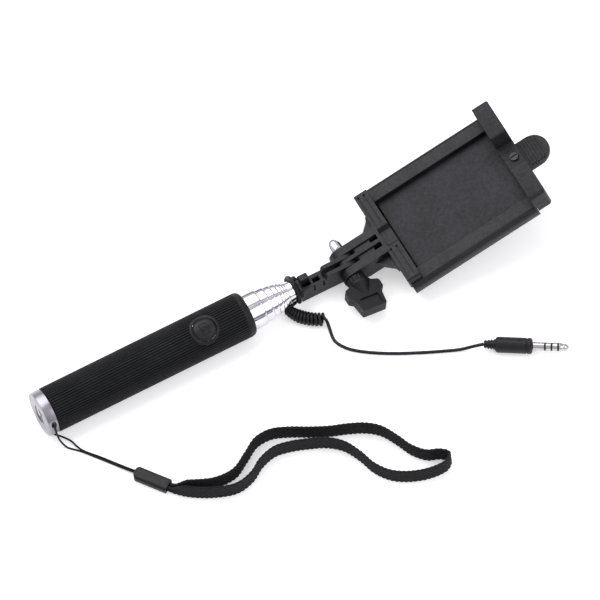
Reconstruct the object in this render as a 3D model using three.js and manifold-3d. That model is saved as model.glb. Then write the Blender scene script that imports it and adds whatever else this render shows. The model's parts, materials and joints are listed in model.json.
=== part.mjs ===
// A wired telescoping selfie stick, folded: a rubber grip with a shutter button, eight nested
// chrome tubes, a forked head, a spring-loaded phone clamp on a tilt hinge, a coiled audio
// lead with a 3.5 mm plug, and a wrist strap.
//
// Units are millimetres. Inside the stick's own group X runs along the pole's axis from the end
// cap's outer face, +Y is the side of the acorn nut, and +Z is the side that a phone faces. The
// outer group then puts the origin on the table, below the middle of the stick.

import * as THREE from "three";
import { mergeVertices } from "three/addons/utils/BufferGeometryUtils.js";
import Module from "manifold-3d";

const wasm = await Module();
wasm.setup();

// ---------------------------------------------------------------- driving dimensions

const MIDDLE = 118; // the origin's place along the pole
const GRIP = { start: 4.6, end: 96, radius: 9.75, bore: 8.15, shoulder: 2.6, chamfer: 0.4 };
const CAP = { end: 4.3, radius: 9.6, spigot: 7.25, spigotEnd: 12, hole: 4.1, chamfer: 0.5 };
const TRIPOD = { outer: 3.95, thread: 3.175, start: 0.6, end: 11.6, countersink: 0.4 };
const LANYARD = { x: 2.3, radius: 1.1, depth: 7.6, angle: 109 };

const TUBE = { radius: 8, step: 0.5, wall: 0.35, firstStart: 4.7, nextStart: 14, stagger: 0.8 };
const TUBE_ENDS = [102, 105.6, 108.4, 110.6, 112.2, 113.4, 114.4, 118.2];
const KEYWAY = { angle: 110, halfWidth: 0.75, depth: 0.2, floorShare: 0.8 };
const KEY = { halfWidth: 0.4, height: 0.27 };
const INNER_CORD = { radius: 2.6, start: 22, end: 105 };

const BUTTON = { x: 75.2, angle: 20, bezel: 6.3, bore: 5.1, cap: 4.75 };
const BUTTON_RISE = { bezelLow: 8.3, bezelHigh: 10.2, capLow: 9.15, capHigh: 10.7 };
const BOARD = { long: 7.5, wide: 6, low: 7.7, high: 8.2, clearance: 0.3 };
const DOME = { radius: 2.2, low: 8.25, high: 8.65 };

const HEAD = { start: 106, base: 118.5, disc: 120.4, discRadius: 5.2, spigot: 3.75 };
const CORD_WAY = { radius: 2.9, end: 112 };
const CORD_NOTCH = { y: [0.5, 3.2], z: [0.9, 6] };
const STEM = { half: 2.9, low: -7.3, high: -0.2, slotHalf: 1.1, slotFloor: -5.4 };
const BAYS = [
  [121.8, 125.4],
  [126.4, 129.6],
];
const NOTCH = { at: [125.9, 130.2], half: 0.35, depth: 0.7, low: -3 };
const HINGE = { x: 142.5, z: -2.5, tip: 5, hole: 2.2, tilt: 13.2 };
const FORK = { start: 131.5, slotStart: 130.8, slope: 1.5 };
const GLAND = { x: [120.9, 125.2], y: [0.2, 2.9], z: [0.1, 3.5], bore: 1, mouth: [1.55, 1.9], boreEnd: 124 };
const CLEVIS = { middle: 0.85, inner: 3.2, outer: 6.8, root: 5.9, lowered: 0.2, channel: 0.9 };
const CLEVIS_WINDOW = { start: 13.2, end: 16.8, y: 2, half: 1, floor: -3.2 };

const SCREW = { radius: 1.95, start: -14, end: 10.2 };
const KNOB = { start: -7.1, neck: 4.3, wing: 8.1, fin: 5.35, end: -24, half: 2.4, tilt: 9 };
const KNOB_EAR = { start: -9.8, widest: -12.6, end: -16, foot: -16.8, inset: 2 };
const KNOB_RECESS = { rim: 1.2, start: -17.6, depth: 0.5 };
const NUT = { start: 7.1, seat: 10.4, end: 14.7, radius: 3, bore: 2.05 };

// The clamp's own frame: X along the slide from the hinge, Y across, Z out of the front.
const JAW_LOW = { start: 17.3, end: 23.4, half: 23.6, bottom: -2, lobe: 4.6, dip: 2.4, flareTop: 1.6 };
const HOUSING = { start: 18, end: 78, half: 25.7, front: 0.9, back: -9.5, corner: 6, lip: 18.1, edge: 2.4 };
const CHANNEL = { lipUnder: -1.6, half: 20.8, low: -3.85, springs: 17.5, floor: -8.3 };
const PLATE = { start: 24.2, end: 78.2, half: 20.4, front: -1.9, back: -3.6, tongue: 12.5 };
const TAB = { half: 7, tip: 96.4, ribs: 5, pitch: 1.35, rib: 0.5, ribHeight: 0.35 };
const JAW_HIGH = { start: 78.3, end: 84.6, half: 25.4, bottom: -1.6, lobe: 10, dip: 1.8 };
const LOBE_INNER = { low: 4.6, high: 8.2 };
const JAW_SCREW = { x: 81.5, shank: 1.15, hole: 1.35, head: 1.9, headHeight: 0.8 };
const BRIDGE = { start: 66, end: 68.5 };
const CARRIER = { start: 72, end: 75.5, half: 13, back: -7.9 };
const ROD = { y: 10, z: -5.95, radius: 1, start: 25.4, head: 27, end: 75 };
const SPRING = { start: 27.2, end: 65.8, outer: 1.95, inner: 1.25 };
const PAD = { depth: 1.2, inner: 9.6, outer: 23.6, low: 3.4, high: 8.1, gap: 0.2, proud: 0.1 };

const TABLE = -GRIP.radius;
const CORD_RADIUS = 0.7;
const CORD_Z = TABLE + CORD_RADIUS + 0.05;
const WRAP = { start: 114.9, end: 118.2, inner: 4.75, outer: 6.7 };
const COIL = { radius: 2.9, from: [111.4, -5.6], to: [123.2, -14.8] };
const PLUG_AT = { x: 174, y: -58.6, toX: 203.6, toY: -77.9 };
const PLUG_BODY = { boot: 2.25, bootLength: 4.5, radius: 3.3, length: 15.2, coreStart: 8 };
const JACK = { radius: 1.75, core: 1.15, length: 15, gap: 0.1 };

const STRING_RADIUS = 0.9;
const STRING_Z = TABLE + STRING_RADIUS + 0.05;
const WEB = { thick: 1.5, wide: 8 };
const FERRULE = { from: [22.6, -39.3], to: [31.4, -52.0], wide: 6.2, high: 3.4 };

// ---------------------------------------------------------------- finishes

const finish = (color, roughness, metalness = 0) => ({ color, roughness, metalness });
const FINISHES = {
  rubber: finish(0x17181a, 0.75),
  plastic: finish(0x1c1d20, 0.45),
  glossPlastic: finish(0x141416, 0.25),
  chrome: finish(0xe6e6ea, 0.1, 1),
  aluminium: finish(0xc9c9cc, 0.35, 1),
  steel: finish(0x9a9ca0, 0.3, 1),
  board: finish(0x1f5a35, 0.6),
  cord: finish(0x161618, 0.5),
  webbing: finish(0x1a1a1d, 0.9),
};

// ---------------------------------------------------------------- geometry helpers

const radians = THREE.MathUtils.degToRad;

function signedVolume(geometry) {
  const p = geometry.getAttribute("position");
  const [a, b, c] = [new THREE.Vector3(), new THREE.Vector3(), new THREE.Vector3()];
  let sum = 0;
  for (let i = 0; i < p.count; i += 3) {
    a.fromBufferAttribute(p, i);
    b.fromBufferAttribute(p, i + 1);
    c.fromBufferAttribute(p, i + 2);
    sum += a.dot(b.cross(c));
  }
  return sum / 6;
}

// Positions only, corners shared, and every face pointing out.
function bare(geometry) {
  const loose = geometry.index ? geometry.toNonIndexed() : geometry;
  const positions = new THREE.BufferGeometry();
  positions.setAttribute("position", loose.getAttribute("position").clone());
  const inward = signedVolume(positions) < 0;
  const merged = mergeVertices(positions, 1e-4);
  if (inward) merged.index.array.reverse();
  return merged;
}

function toSolid(geometry) {
  const merged = bare(geometry);
  return new wasm.Manifold(
    new wasm.Mesh({
      numProp: 3,
      vertProperties: merged.attributes.position.array,
      triVerts: new Uint32Array(merged.index.array),
    }),
  );
}

function toGeometry(solid) {
  const mesh = solid.getMesh();
  const geometry = new THREE.BufferGeometry();
  geometry.setAttribute("position", new THREE.BufferAttribute(mesh.vertProperties, mesh.numProp));
  geometry.setIndex(new THREE.BufferAttribute(mesh.triVerts, 1));
  return geometry;
}

function combine(base, others, how) {
  return toGeometry(others.reduce((solid, other) => solid[how](toSolid(other)), toSolid(base)));
}

const join = (base, ...others) => combine(base, others, "add");
const cut = (base, ...others) => combine(base, others, "subtract");
const common = (base, ...others) => combine(base, others, "intersect");

// A box from its low to its high limits along each axis.
function block([x0, x1], [y0, y1], [z0, z1]) {
  const geometry = new THREE.BoxGeometry(x1 - x0, y1 - y0, z1 - z0);
  return geometry.translate((x0 + x1) / 2, (y0 + y1) / 2, (z0 + z1) / 2);
}

// A round bar along X, Y or Z. The centre gives its two other coordinates, in X, Y, Z order.
function bar(axis, radius, from, to, centre = [0, 0], sides = 24) {
  const geometry = new THREE.CylinderGeometry(radius, radius, to - from, sides);
  const middle = (from + to) / 2;
  if (axis === "x") return geometry.rotateZ(-Math.PI / 2).translate(middle, centre[0], centre[1]);
  if (axis === "y") return geometry.translate(centre[0], middle, centre[1]);
  return geometry.rotateX(Math.PI / 2).translate(centre[0], centre[1], middle);
}

// A solid of revolution about the X axis, from [x, radius] points.
function turned(profile, sides = 40) {
  const points = profile.map(([x, radius]) => new THREE.Vector2(radius, x));
  return new THREE.LatheGeometry(points, sides).rotateZ(-Math.PI / 2);
}

function outline(points) {
  return new THREE.Shape(points.map(([a, b]) => new THREE.Vector2(a, b)));
}

// A flat shape pushed along an axis. Its two coordinates are (y, z) for x, (x, z) for y
// and (x, y) for z.
function prism(axis, shape, from, to, curveSegments = 8) {
  const options = { depth: to - from, bevelEnabled: false, curveSegments };
  const geometry = new THREE.ExtrudeGeometry(shape, options);
  if (axis === "z") return geometry.translate(0, 0, from);
  if (axis === "y") return geometry.rotateX(Math.PI / 2).translate(0, to, 0);
  const turn = new THREE.Matrix4().makeBasis(
    new THREE.Vector3(0, 1, 0),
    new THREE.Vector3(0, 0, 1),
    new THREE.Vector3(1, 0, 0),
  );
  return geometry.applyMatrix4(turn).translate(from, 0, 0);
}

// A smooth curve through points given by hand.
function route(points) {
  const vectors = points.map((p) => new THREE.Vector3(...p));
  return new THREE.CatmullRomCurve3(vectors, false, "centripetal");
}

// A round cord along a curve.
function cordAlong(curve, radius, steps, sides = 8) {
  const section = new THREE.Shape();
  for (let i = 0; i < sides; i += 1) {
    const angle = (2 * Math.PI * i) / sides;
    const point = [radius * Math.cos(angle), radius * Math.sin(angle)];
    if (i === 0) section.moveTo(...point);
    else section.lineTo(...point);
  }
  section.closePath();
  return new THREE.ExtrudeGeometry(section, { steps, extrudePath: curve, bevelEnabled: false });
}

// Turns a piece made along Z at the pole's axis so that it points out at the button.
function towardsButton(geometry) {
  return geometry.rotateX(radians(BUTTON.angle)).translate(BUTTON.x, 0, 0);
}

const stick = new THREE.Group();
const clamp = new THREE.Group();
clamp.position.set(HINGE.x, 0, HINGE.z);
clamp.rotation.y = -radians(HINGE.tilt);
stick.add(clamp);

function add(group, name, finishName, geometry) {
  const material = new THREE.MeshStandardMaterial(FINISHES[finishName]);
  const mesh = new THREE.Mesh(bare(geometry), material);
  mesh.name = name;
  group.add(mesh);
}

// ---------------------------------------------------------------- handle

function endCap() {
  const body = turned([
    [CAP.spigotEnd, 0],
    [CAP.spigotEnd, CAP.spigot],
    [CAP.end, CAP.spigot],
    [CAP.end, CAP.radius],
    [CAP.chamfer, CAP.radius],
    [0, CAP.radius - CAP.chamfer],
    [0, 0],
  ]);
  const bore = bar("x", CAP.hole, -1, CAP.spigotEnd + 1);
  const lanyardHole = bar("y", LANYARD.radius, -14, 14, [LANYARD.x, LANYARD.depth], 12);
  lanyardHole.rotateX(radians(LANYARD.angle));
  return cut(body, bore, lanyardHole);
}

function tripodInsert() {
  const { start, end, outer, thread, countersink } = TRIPOD;
  return turned([
    [start, thread + countersink],
    [start, outer],
    [end, outer],
    [end, thread],
    [start + countersink, thread],
    [start, thread + countersink],
  ]);
}

function grip() {
  const shoulderStart = GRIP.end - GRIP.shoulder;
  const profile = [
    [GRIP.start, GRIP.bore],
    [GRIP.start, GRIP.radius - GRIP.chamfer],
    [GRIP.start + GRIP.chamfer, GRIP.radius],
  ];
  const steps = 4;
  for (let i = 0; i <= steps; i += 1) {
    const angle = (i / steps) * (Math.PI / 2);
    const drop = (GRIP.radius - GRIP.bore - GRIP.chamfer) * (1 - Math.cos(angle));
    profile.push([shoulderStart + GRIP.shoulder * Math.sin(angle), GRIP.radius - drop]);
  }
  profile.push([GRIP.end, GRIP.bore], [GRIP.start, GRIP.bore]);
  const buttonHole = towardsButton(bar("z", BUTTON.bezel + 0.15, 2, 14));
  return cut(turned(profile, 48), buttonHole);
}

// The ring of a tube's section, with the keyway that stops one tube turning in the next.
function keyedCircle(Kind, radius, halfWidth, depth) {
  const middle = radians(KEYWAY.angle);
  const half = halfWidth / radius;
  const path = new Kind();
  path.absarc(0, 0, radius, middle + half, middle + 2 * Math.PI - half, false);
  const bottom = radius - depth;
  for (const side of [-1, 1]) {
    const angle = middle + side * half * KEYWAY.floorShare;
    path.lineTo(bottom * Math.cos(angle), bottom * Math.sin(angle));
  }
  return path;
}

function tube(index) {
  const radius = TUBE.radius - TUBE.step * index;
  const end = TUBE_ENDS[index];
  const start = index === 0 ? TUBE.firstStart : TUBE.nextStart + TUBE.stagger * (index - 1);
  const section = keyedCircle(THREE.Shape, radius, KEYWAY.halfWidth, KEYWAY.depth);
  section.holes.push(keyedCircle(THREE.Path, radius - TUBE.wall, KEY.halfWidth, KEY.height));
  const pipe = prism("x", section, start, end, 18);
  if (index > 0) return pipe;
  const half = [BOARD.long / 2 + BOARD.clearance, BOARD.wide / 2 + BOARD.clearance];
  const window = block([-half[0], half[0]], [-half[1], half[1]], [5, 12]);
  return cut(pipe, towardsButton(window));
}

// What lies between two radii of the pole, under a round cutter at the button.
function buttonRing(outer, inner, low, high) {
  const shell = bar("x", high, BUTTON.x - 8, BUTTON.x + 8, [0, 0], 48);
  const kept = common(towardsButton(bar("z", outer, 0, 14, [0, 0], 32)), shell);
  const core = bar("x", low, BUTTON.x - 9, BUTTON.x + 9, [0, 0], 48);
  return cut(kept, core, towardsButton(bar("z", inner, -1, 15, [0, 0], 32)));
}

function buttonCap() {
  const { capLow, capHigh } = BUTTON_RISE;
  const shell = bar("x", capHigh, BUTTON.x - 8, BUTTON.x + 8, [0, 0], 48);
  return common(towardsButton(bar("z", BUTTON.cap, capLow, 12, [0, 0], 32)), shell);
}

function switchBoard() {
  const half = [BOARD.long / 2, BOARD.wide / 2];
  const box = block([-half[0], half[0]], [-half[1], half[1]], [BOARD.low, BOARD.high]);
  return towardsButton(box);
}

add(stick, "end_cap", "aluminium", endCap());
add(stick, "tripod_insert", "steel", tripodInsert());
add(stick, "grip", "rubber", grip());
TUBE_ENDS.forEach((_, index) => add(stick, `tube_${index + 1}`, "chrome", tube(index)));
const { bezelLow, bezelHigh } = BUTTON_RISE;
add(stick, "button_bezel", "plastic", buttonRing(BUTTON.bezel, BUTTON.bore, bezelLow, bezelHigh));
add(stick, "button_cap", "plastic", buttonCap());
add(stick, "switch_board", "board", switchBoard());
add(stick, "switch_dome", "steel", towardsButton(bar("z", DOME.radius, DOME.low, DOME.high)));
const innerCord = bar("x", INNER_CORD.radius, INNER_CORD.start, INNER_CORD.end, [0, 0], 16);
add(stick, "inner_cord", "cord", innerCord);

// ---------------------------------------------------------------- head

// The fork seen along Y: it rises in a short slope and ends in a round tip about the hinge.
function forkOutline() {
  const top = HINGE.z + HINGE.tip;
  const shape = new THREE.Shape();
  shape.moveTo(FORK.start, STEM.low);
  shape.lineTo(HINGE.x, STEM.low);
  shape.absarc(HINGE.x, HINGE.z, HINGE.tip, -Math.PI / 2, Math.PI / 2, false);
  shape.lineTo(FORK.start + FORK.slope, top);
  shape.lineTo(FORK.start, top - FORK.slope);
  shape.closePath();
  return shape;
}

function head() {
  const { half, low, high, slotHalf, slotFloor } = STEM;
  const spigot = bar("x", HEAD.spigot, HEAD.start, HEAD.base + 1);
  const disc = bar("x", HEAD.discRadius, HEAD.base, HEAD.disc, [0, 0], 32);
  const stem = block([HEAD.disc - 0.5, FORK.start + 2], [-half, half], [low, high]);
  const fork = prism("y", forkOutline(), -half, half, 8);
  const bays = BAYS.map((bay) => block(bay, [-slotHalf, slotHalf], [slotFloor, 5]));
  const notches = NOTCH.at.map((x) => {
    const depth = [-half - 1, -half + NOTCH.depth];
    return block([x - NOTCH.half, x + NOTCH.half], depth, [NOTCH.low, 5]);
  });
  const forkSlot = block([FORK.slotStart, HINGE.x + HINGE.tip + 1], [-slotHalf, slotHalf], [-12, 6]);
  const hingeHole = bar("y", HINGE.hole, -half - 1, half + 1, [HINGE.x, HINGE.z]);
  const cordWay = bar("x", CORD_WAY.radius, HEAD.start - 1, CORD_WAY.end);
  const cordNotch = block([HEAD.base - 0.5, HEAD.disc + 0.5], CORD_NOTCH.y, CORD_NOTCH.z);
  const solid = join(spigot, disc, stem, fork);
  return cut(solid, ...bays, ...notches, forkSlot, hingeHole, cordWay, cordNotch);
}

function cableGland() {
  const bore = bar("x", GLAND.bore, GLAND.x[0] - 1, GLAND.boreEnd, GLAND.mouth, 12);
  return cut(block(GLAND.x, GLAND.y, GLAND.z), bore);
}

add(stick, "head", "plastic", head());
add(stick, "cable_gland", "plastic", cableGland());

// ---------------------------------------------------------------- hinge screw, knob and nut

const atHinge = [HINGE.x, HINGE.z];

// The wing knob seen along Z, before it is tilted about the screw.
function knobOutline() {
  const { wing, fin, end, neck } = KNOB;
  const ear = KNOB_EAR;
  const shape = new THREE.Shape();
  shape.moveTo(-neck, ear.start);
  shape.quadraticCurveTo(-wing, ear.start, -wing, ear.widest);
  shape.quadraticCurveTo(-wing, ear.end, ear.inset - wing, ear.end);
  shape.lineTo(-fin, ear.foot);
  shape.lineTo(-fin, end + 1);
  shape.quadraticCurveTo(-fin, end, -fin + 1, end);
  shape.lineTo(fin - 1, end);
  shape.quadraticCurveTo(fin, end, fin, end + 1);
  shape.lineTo(fin, ear.foot);
  shape.lineTo(wing - ear.inset, ear.end);
  shape.quadraticCurveTo(wing, ear.end, wing, ear.widest);
  shape.quadraticCurveTo(wing, ear.start, neck, ear.start);
  shape.closePath();
  return shape;
}

function wingKnob() {
  const { start, end, neck: radius, fin, half } = KNOB;
  const neck = bar("y", radius, KNOB_EAR.start - 1, start, [0, 0], 24);
  const hubLength = KNOB_EAR.start - KNOB_EAR.foot;
  const hub = new THREE.CylinderGeometry(radius, half, hubLength, 24);
  hub.translate(0, (KNOB_EAR.start + KNOB_EAR.foot) / 2, 0);
  const wings = prism("z", knobOutline(), -half, half, 4);
  const { rim, start: recessStart, depth } = KNOB_RECESS;
  const recess = block([rim - fin, fin - rim], [end + rim, recessStart], [half - depth, half + 6]);
  const backRecess = recess.clone().rotateY(Math.PI);
  const bore = bar("y", NUT.bore, SCREW.start - 0.3, start + 1);
  const knob = cut(join(wings, neck, hub), recess, backRecess, bore);
  return knob.rotateY(radians(KNOB.tilt)).translate(HINGE.x, 0, HINGE.z);
}

function acornNut() {
  const profile = [
    [NUT.start, NUT.bore],
    [NUT.start, NUT.radius],
    [NUT.seat, NUT.radius],
  ];
  const steps = 6;
  for (let i = 1; i <= steps; i += 1) {
    const angle = (i / steps) * (Math.PI / 2);
    const x = NUT.seat + (NUT.end - NUT.seat) * Math.sin(angle);
    profile.push([x, NUT.radius * Math.cos(angle)]);
  }
  profile[profile.length - 1][1] = 0;
  profile.push([SCREW.end + 0.4, 0], [SCREW.end + 0.4, NUT.bore], [NUT.start, NUT.bore]);
  return turned(profile, 24).rotateZ(Math.PI / 2).translate(HINGE.x, 0, HINGE.z);
}

add(stick, "hinge_screw", "steel", bar("y", SCREW.radius, SCREW.start, SCREW.end, atHinge));
add(stick, "wing_knob", "plastic", wingKnob());
add(stick, "acorn_nut", "chrome", acornNut());

// ---------------------------------------------------------------- clamp, in its own frame

// The lower jaw and the knuckle below it, seen along Z.
function lowerJawOutline() {
  const { start, end, half } = JAW_LOW;
  const { outer, root } = CLEVIS;
  const flare = { start: 9.5, bend: 15.5, foot: 14 };
  const shape = new THREE.Shape();
  shape.moveTo(root, -outer);
  shape.lineTo(flare.start, -outer);
  shape.quadraticCurveTo(flare.bend, -outer - 0.6, start - 0.6, 1 - flare.foot);
  shape.lineTo(start, -flare.foot);
  shape.lineTo(start, 1 - half);
  shape.lineTo(start + 1, -half);
  shape.lineTo(end, -half);
  shape.lineTo(end, half);
  shape.lineTo(start + 1, half);
  shape.lineTo(start, half - 1);
  shape.lineTo(start, flare.foot);
  shape.lineTo(start - 0.6, flare.foot - 1);
  shape.quadraticCurveTo(flare.bend, outer + 0.6, flare.start, outer);
  shape.lineTo(root, outer);
  shape.closePath();
  return shape;
}

// The jaw's height across its width: two lobes with a dip between them.
function lobes({ half, bottom, lobe, dip }, lobeInner) {
  const chamfer = 1.6;
  const right = [
    [half, bottom],
    [half, lobe - chamfer],
    [half - chamfer, lobe],
    [lobeInner + chamfer, lobe],
    [lobeInner, lobe - chamfer / 2],
    [lobeInner - 1.2, dip],
  ];
  const left = right.map(([y, z]) => [-y, z]).reverse();
  return outline([...right, ...left]);
}

function clampBase() {
  const { start, end, half, bottom } = JAW_LOW;
  const { middle, inner, outer, root } = CLEVIS;
  const reach = HINGE.tip;
  const top = reach - CLEVIS.lowered;
  const knuckle = block([root, start + 1], [-outer, outer], [-reach, top]);
  const plan = prism("z", lowerJawOutline(), bottom, JAW_LOW.lobe, 6);
  const jaw = common(plan, prism("x", lobes(JAW_LOW, LOBE_INNER.low), root, end, 4));
  const finger = new THREE.Shape();
  finger.moveTo(root + 0.5, -reach);
  finger.lineTo(root + 0.5, top);
  finger.lineTo(0, top);
  finger.absarc(0, 0, top, Math.PI / 2, (3 * Math.PI) / 2, false);
  finger.lineTo(root + 0.5, -reach);
  const fingers = [
    prism("y", finger, -outer, -inner),
    prism("y", finger, -middle, middle),
    prism("y", finger, inner, outer),
  ];
  const windows = [-1, 1].map((side) => {
    const y = side * CLEVIS_WINDOW.y;
    const across = [y - CLEVIS_WINDOW.half, y + CLEVIS_WINDOW.half];
    return block([CLEVIS_WINDOW.start, CLEVIS_WINDOW.end], across, [CLEVIS_WINDOW.floor, reach]);
  });
  const channels = [
    [middle, inner],
    [-inner, -middle],
  ].map((across) => block([root - 1, CLEVIS_WINDOW.end], across, [top - CLEVIS.channel, reach + 1]));
  const overFlare = [
    [outer, half],
    [-half, -outer],
  ].map((across) => block([root, start], across, [JAW_LOW.flareTop, reach + 1]));
  const underHousing = block([HOUSING.start - 0.4, end + 1], [-half - 1, half + 1], [-12, bottom - 0.01]);
  const hole = bar("y", HINGE.hole, -outer - 1, outer + 1);
  const body = cut(join(knuckle, jaw), underHousing, ...channels, ...overFlare);
  return cut(join(body, ...fingers), ...windows, hole);
}

// The C-shaped section of the clamp's housing, in (y, z).
function housingSection() {
  const { half, front, back, corner, lip, edge } = HOUSING;
  const { lipUnder, half: channelHalf, low, springs, floor } = CHANNEL;
  const shape = new THREE.Shape();
  shape.moveTo(lip, front);
  shape.lineTo(lip, lipUnder);
  shape.lineTo(channelHalf, lipUnder);
  shape.lineTo(channelHalf, low);
  shape.lineTo(springs, low);
  shape.lineTo(springs, floor);
  shape.lineTo(-springs, floor);
  shape.lineTo(-springs, low);
  shape.lineTo(-channelHalf, low);
  shape.lineTo(-channelHalf, lipUnder);
  shape.lineTo(-lip, lipUnder);
  shape.lineTo(-lip, front);
  shape.lineTo(-half + edge, front);
  shape.quadraticCurveTo(-half, front, -half, front - edge);
  shape.lineTo(-half, back + corner + 1);
  shape.quadraticCurveTo(-half, back, -half + corner + 2, back);
  shape.lineTo(half - corner - 2, back);
  shape.quadraticCurveTo(half, back, half, back + corner + 1);
  shape.lineTo(half, front - edge);
  shape.quadraticCurveTo(half, front, half - edge, front);
  shape.closePath();
  return shape;
}

function clampHousing() {
  const { start, end } = HOUSING;
  const shell = prism("x", housingSection(), start, end, 6);
  const bridge = block(
    [BRIDGE.start, BRIDGE.end],
    [-CHANNEL.springs - 1, CHANNEL.springs + 1],
    [CHANNEL.floor - 0.5, PLATE.back - 0.3],
  );
  const seatHalf = JAW_LOW.half + 0.3;
  const jawSeat = block([start - 1, JAW_LOW.end + 0.3], [-seatHalf, seatHalf], [JAW_LOW.bottom - 0.3, 4]);
  const knuckleSeat = block([start - 1, start + 0.7], [-8, 8], [JAW_LOW.bottom - 0.4, -12]);
  const holes = [-1, 1].map((side) => {
    return bar("x", ROD.radius + 0.2, BRIDGE.start - 1, BRIDGE.end + 1, [side * ROD.y, ROD.z], 16);
  });
  return cut(join(shell, bridge), jawSeat, knuckleSeat, ...holes);
}

// The sliding plate with its tongue, the thumb tab at its end and the carrier of the rods.
function slidePlate() {
  const { start, end, half, front, back, tongue } = PLATE;
  const sheet = block([start, end], [-half, half], [back, front]);
  const shoulder = JAW_HIGH.end - 0.3;
  const tabShape = new THREE.Shape();
  tabShape.moveTo(end - 1, -tongue);
  tabShape.lineTo(shoulder, -tongue);
  tabShape.lineTo(shoulder, -TAB.half);
  tabShape.lineTo(TAB.tip - TAB.half, -TAB.half);
  tabShape.absarc(TAB.tip - TAB.half, 0, TAB.half, -Math.PI / 2, Math.PI / 2, false);
  tabShape.lineTo(shoulder, TAB.half);
  tabShape.lineTo(shoulder, tongue);
  tabShape.lineTo(end - 1, tongue);
  const tab = prism("z", tabShape, back, front, 10);
  const carrier = block(
    [CARRIER.start, CARRIER.end],
    [-CARRIER.half, CARRIER.half],
    [CARRIER.back, back + 0.5],
  );
  const holes = [-1, 1].map((side) => {
    return bar("x", ROD.radius + 0.15, CARRIER.start - 1, CARRIER.end + 1, [side * ROD.y, ROD.z], 16);
  });
  const ribs = [];
  for (let i = 0; i < TAB.ribs; i += 1) {
    const x = JAW_HIGH.end + 1.6 + i * TAB.pitch;
    const reach = TAB.half - 1.4;
    ribs.push(block([x, x + TAB.rib], [-reach, reach], [front - 0.2, front + TAB.ribHeight]));
  }
  return cut(join(sheet, tab, carrier, ...ribs), ...holes);
}

// A pad's place in the upper jaw, or the seat that holds it with a gap all round.
function padBlock(side, from, to, gap) {
  const edges = [side * (PAD.inner - gap), side * (PAD.outer + gap)].sort((a, b) => a - b);
  return block([from, to], edges, [PAD.low - gap, PAD.high + gap]);
}

function upperJaw() {
  const { start, end } = JAW_HIGH;
  const jaw = prism("x", lobes(JAW_HIGH, LOBE_INNER.high), start, end, 4);
  const screwHole = bar("z", JAW_SCREW.hole, -4, 4, [JAW_SCREW.x, 0], 16);
  const seats = [-1, 1].map((side) => padBlock(side, start - 1, start + PAD.depth, PAD.gap));
  return cut(jaw, screwHole, ...seats);
}

function jawPad(side) {
  return padBlock(side, JAW_HIGH.start - PAD.proud, JAW_HIGH.start + PAD.depth - PAD.gap, 0);
}

function jawScrew() {
  const { x, shank, head: headRadius, headHeight } = JAW_SCREW;
  const headLow = JAW_HIGH.dip + 0.1;
  const headHigh = headLow + headHeight;
  const screw = join(
    bar("z", shank, PLATE.front + 0.2, headLow + headHeight / 2, [x, 0], 16),
    bar("z", headRadius, headLow, headHigh, [x, 0], 16),
  );
  const slot = block([x - headRadius, x + headRadius], [-0.25, 0.25], [headHigh - 0.4, headHigh + 1]);
  return cut(screw, slot);
}

function guideRod(side) {
  const centre = [side * ROD.y, ROD.z];
  return join(
    bar("x", ROD.radius, ROD.start, ROD.end, centre, 16),
    bar("x", SPRING.outer, ROD.start, ROD.head, centre, 16),
  );
}

function returnSpring(side) {
  const { start, end, outer, inner } = SPRING;
  const sleeve = turned(
    [
      [start, inner],
      [start, outer],
      [end, outer],
      [end, inner],
      [start, inner],
    ],
    16,
  );
  return sleeve.translate(0, side * ROD.y, ROD.z);
}

add(clamp, "clamp_base", "plastic", clampBase());
add(clamp, "clamp_housing", "plastic", clampHousing());
add(clamp, "slide_plate", "plastic", slidePlate());
add(clamp, "upper_jaw", "plastic", upperJaw());
add(clamp, "jaw_screw", "steel", jawScrew());
for (const [name, side] of Object.entries({ near: -1, far: 1 })) {
  add(clamp, `jaw_pad_${name}`, "rubber", jawPad(side));
  add(clamp, `guide_rod_${name}`, "steel", guideRod(side));
  add(clamp, `return_spring_${name}`, "steel", returnSpring(side));
}

// ---------------------------------------------------------------- audio lead

// Its centre line, from the coil's end along the table to the plug.
const LEAD_ROUTE = [
  [124.1, -15.9, -7.6],
  [123.6, -19.0, -8.5],
  [122.7, -24.8, CORD_Z],
  [125.1, -30.2, CORD_Z],
  [129.7, -34.9, CORD_Z],
  [138.6, -41.2, CORD_Z],
  [149.8, -47.4, CORD_Z],
  [158.4, -51.6, CORD_Z],
  [164.9, -54.6, CORD_Z + 0.2],
  [170.2, -57.0, -7.2],
  [173.8, -58.5, -6.5],
];

function coilSolid() {
  const [x0, y0] = COIL.from;
  const [x1, y1] = COIL.to;
  const length = Math.hypot(x1 - x0, y1 - y0);
  const angle = Math.atan2(y1 - y0, x1 - x0);
  const tubeOfTurns = bar("x", COIL.radius, 0, length, [0, 0], 12);
  return tubeOfTurns.rotateZ(angle).translate(x0, y0, TABLE + COIL.radius);
}

const neckWrap = turned([
  [WRAP.start, WRAP.inner],
  [WRAP.start, WRAP.outer],
  [WRAP.end, WRAP.outer],
  [WRAP.end, WRAP.inner],
  [WRAP.start, WRAP.inner],
]);
add(stick, "cable_wrap", "cord", neckWrap);
add(stick, "cable_coil", "cord", coilSolid());
add(stick, "cable_lead", "cord", cordAlong(route(LEAD_ROUTE), CORD_RADIUS, 40));

// ---------------------------------------------------------------- plug, in its own frame

const plug = new THREE.Group();
plug.position.set(PLUG_AT.x, PLUG_AT.y, TABLE + PLUG_BODY.radius);
plug.rotation.z = Math.atan2(PLUG_AT.toY - PLUG_AT.y, PLUG_AT.toX - PLUG_AT.x);
stick.add(plug);

const BODY_START = PLUG_BODY.bootLength + 0.1;
const JACK_START = BODY_START + PLUG_BODY.length;

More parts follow.
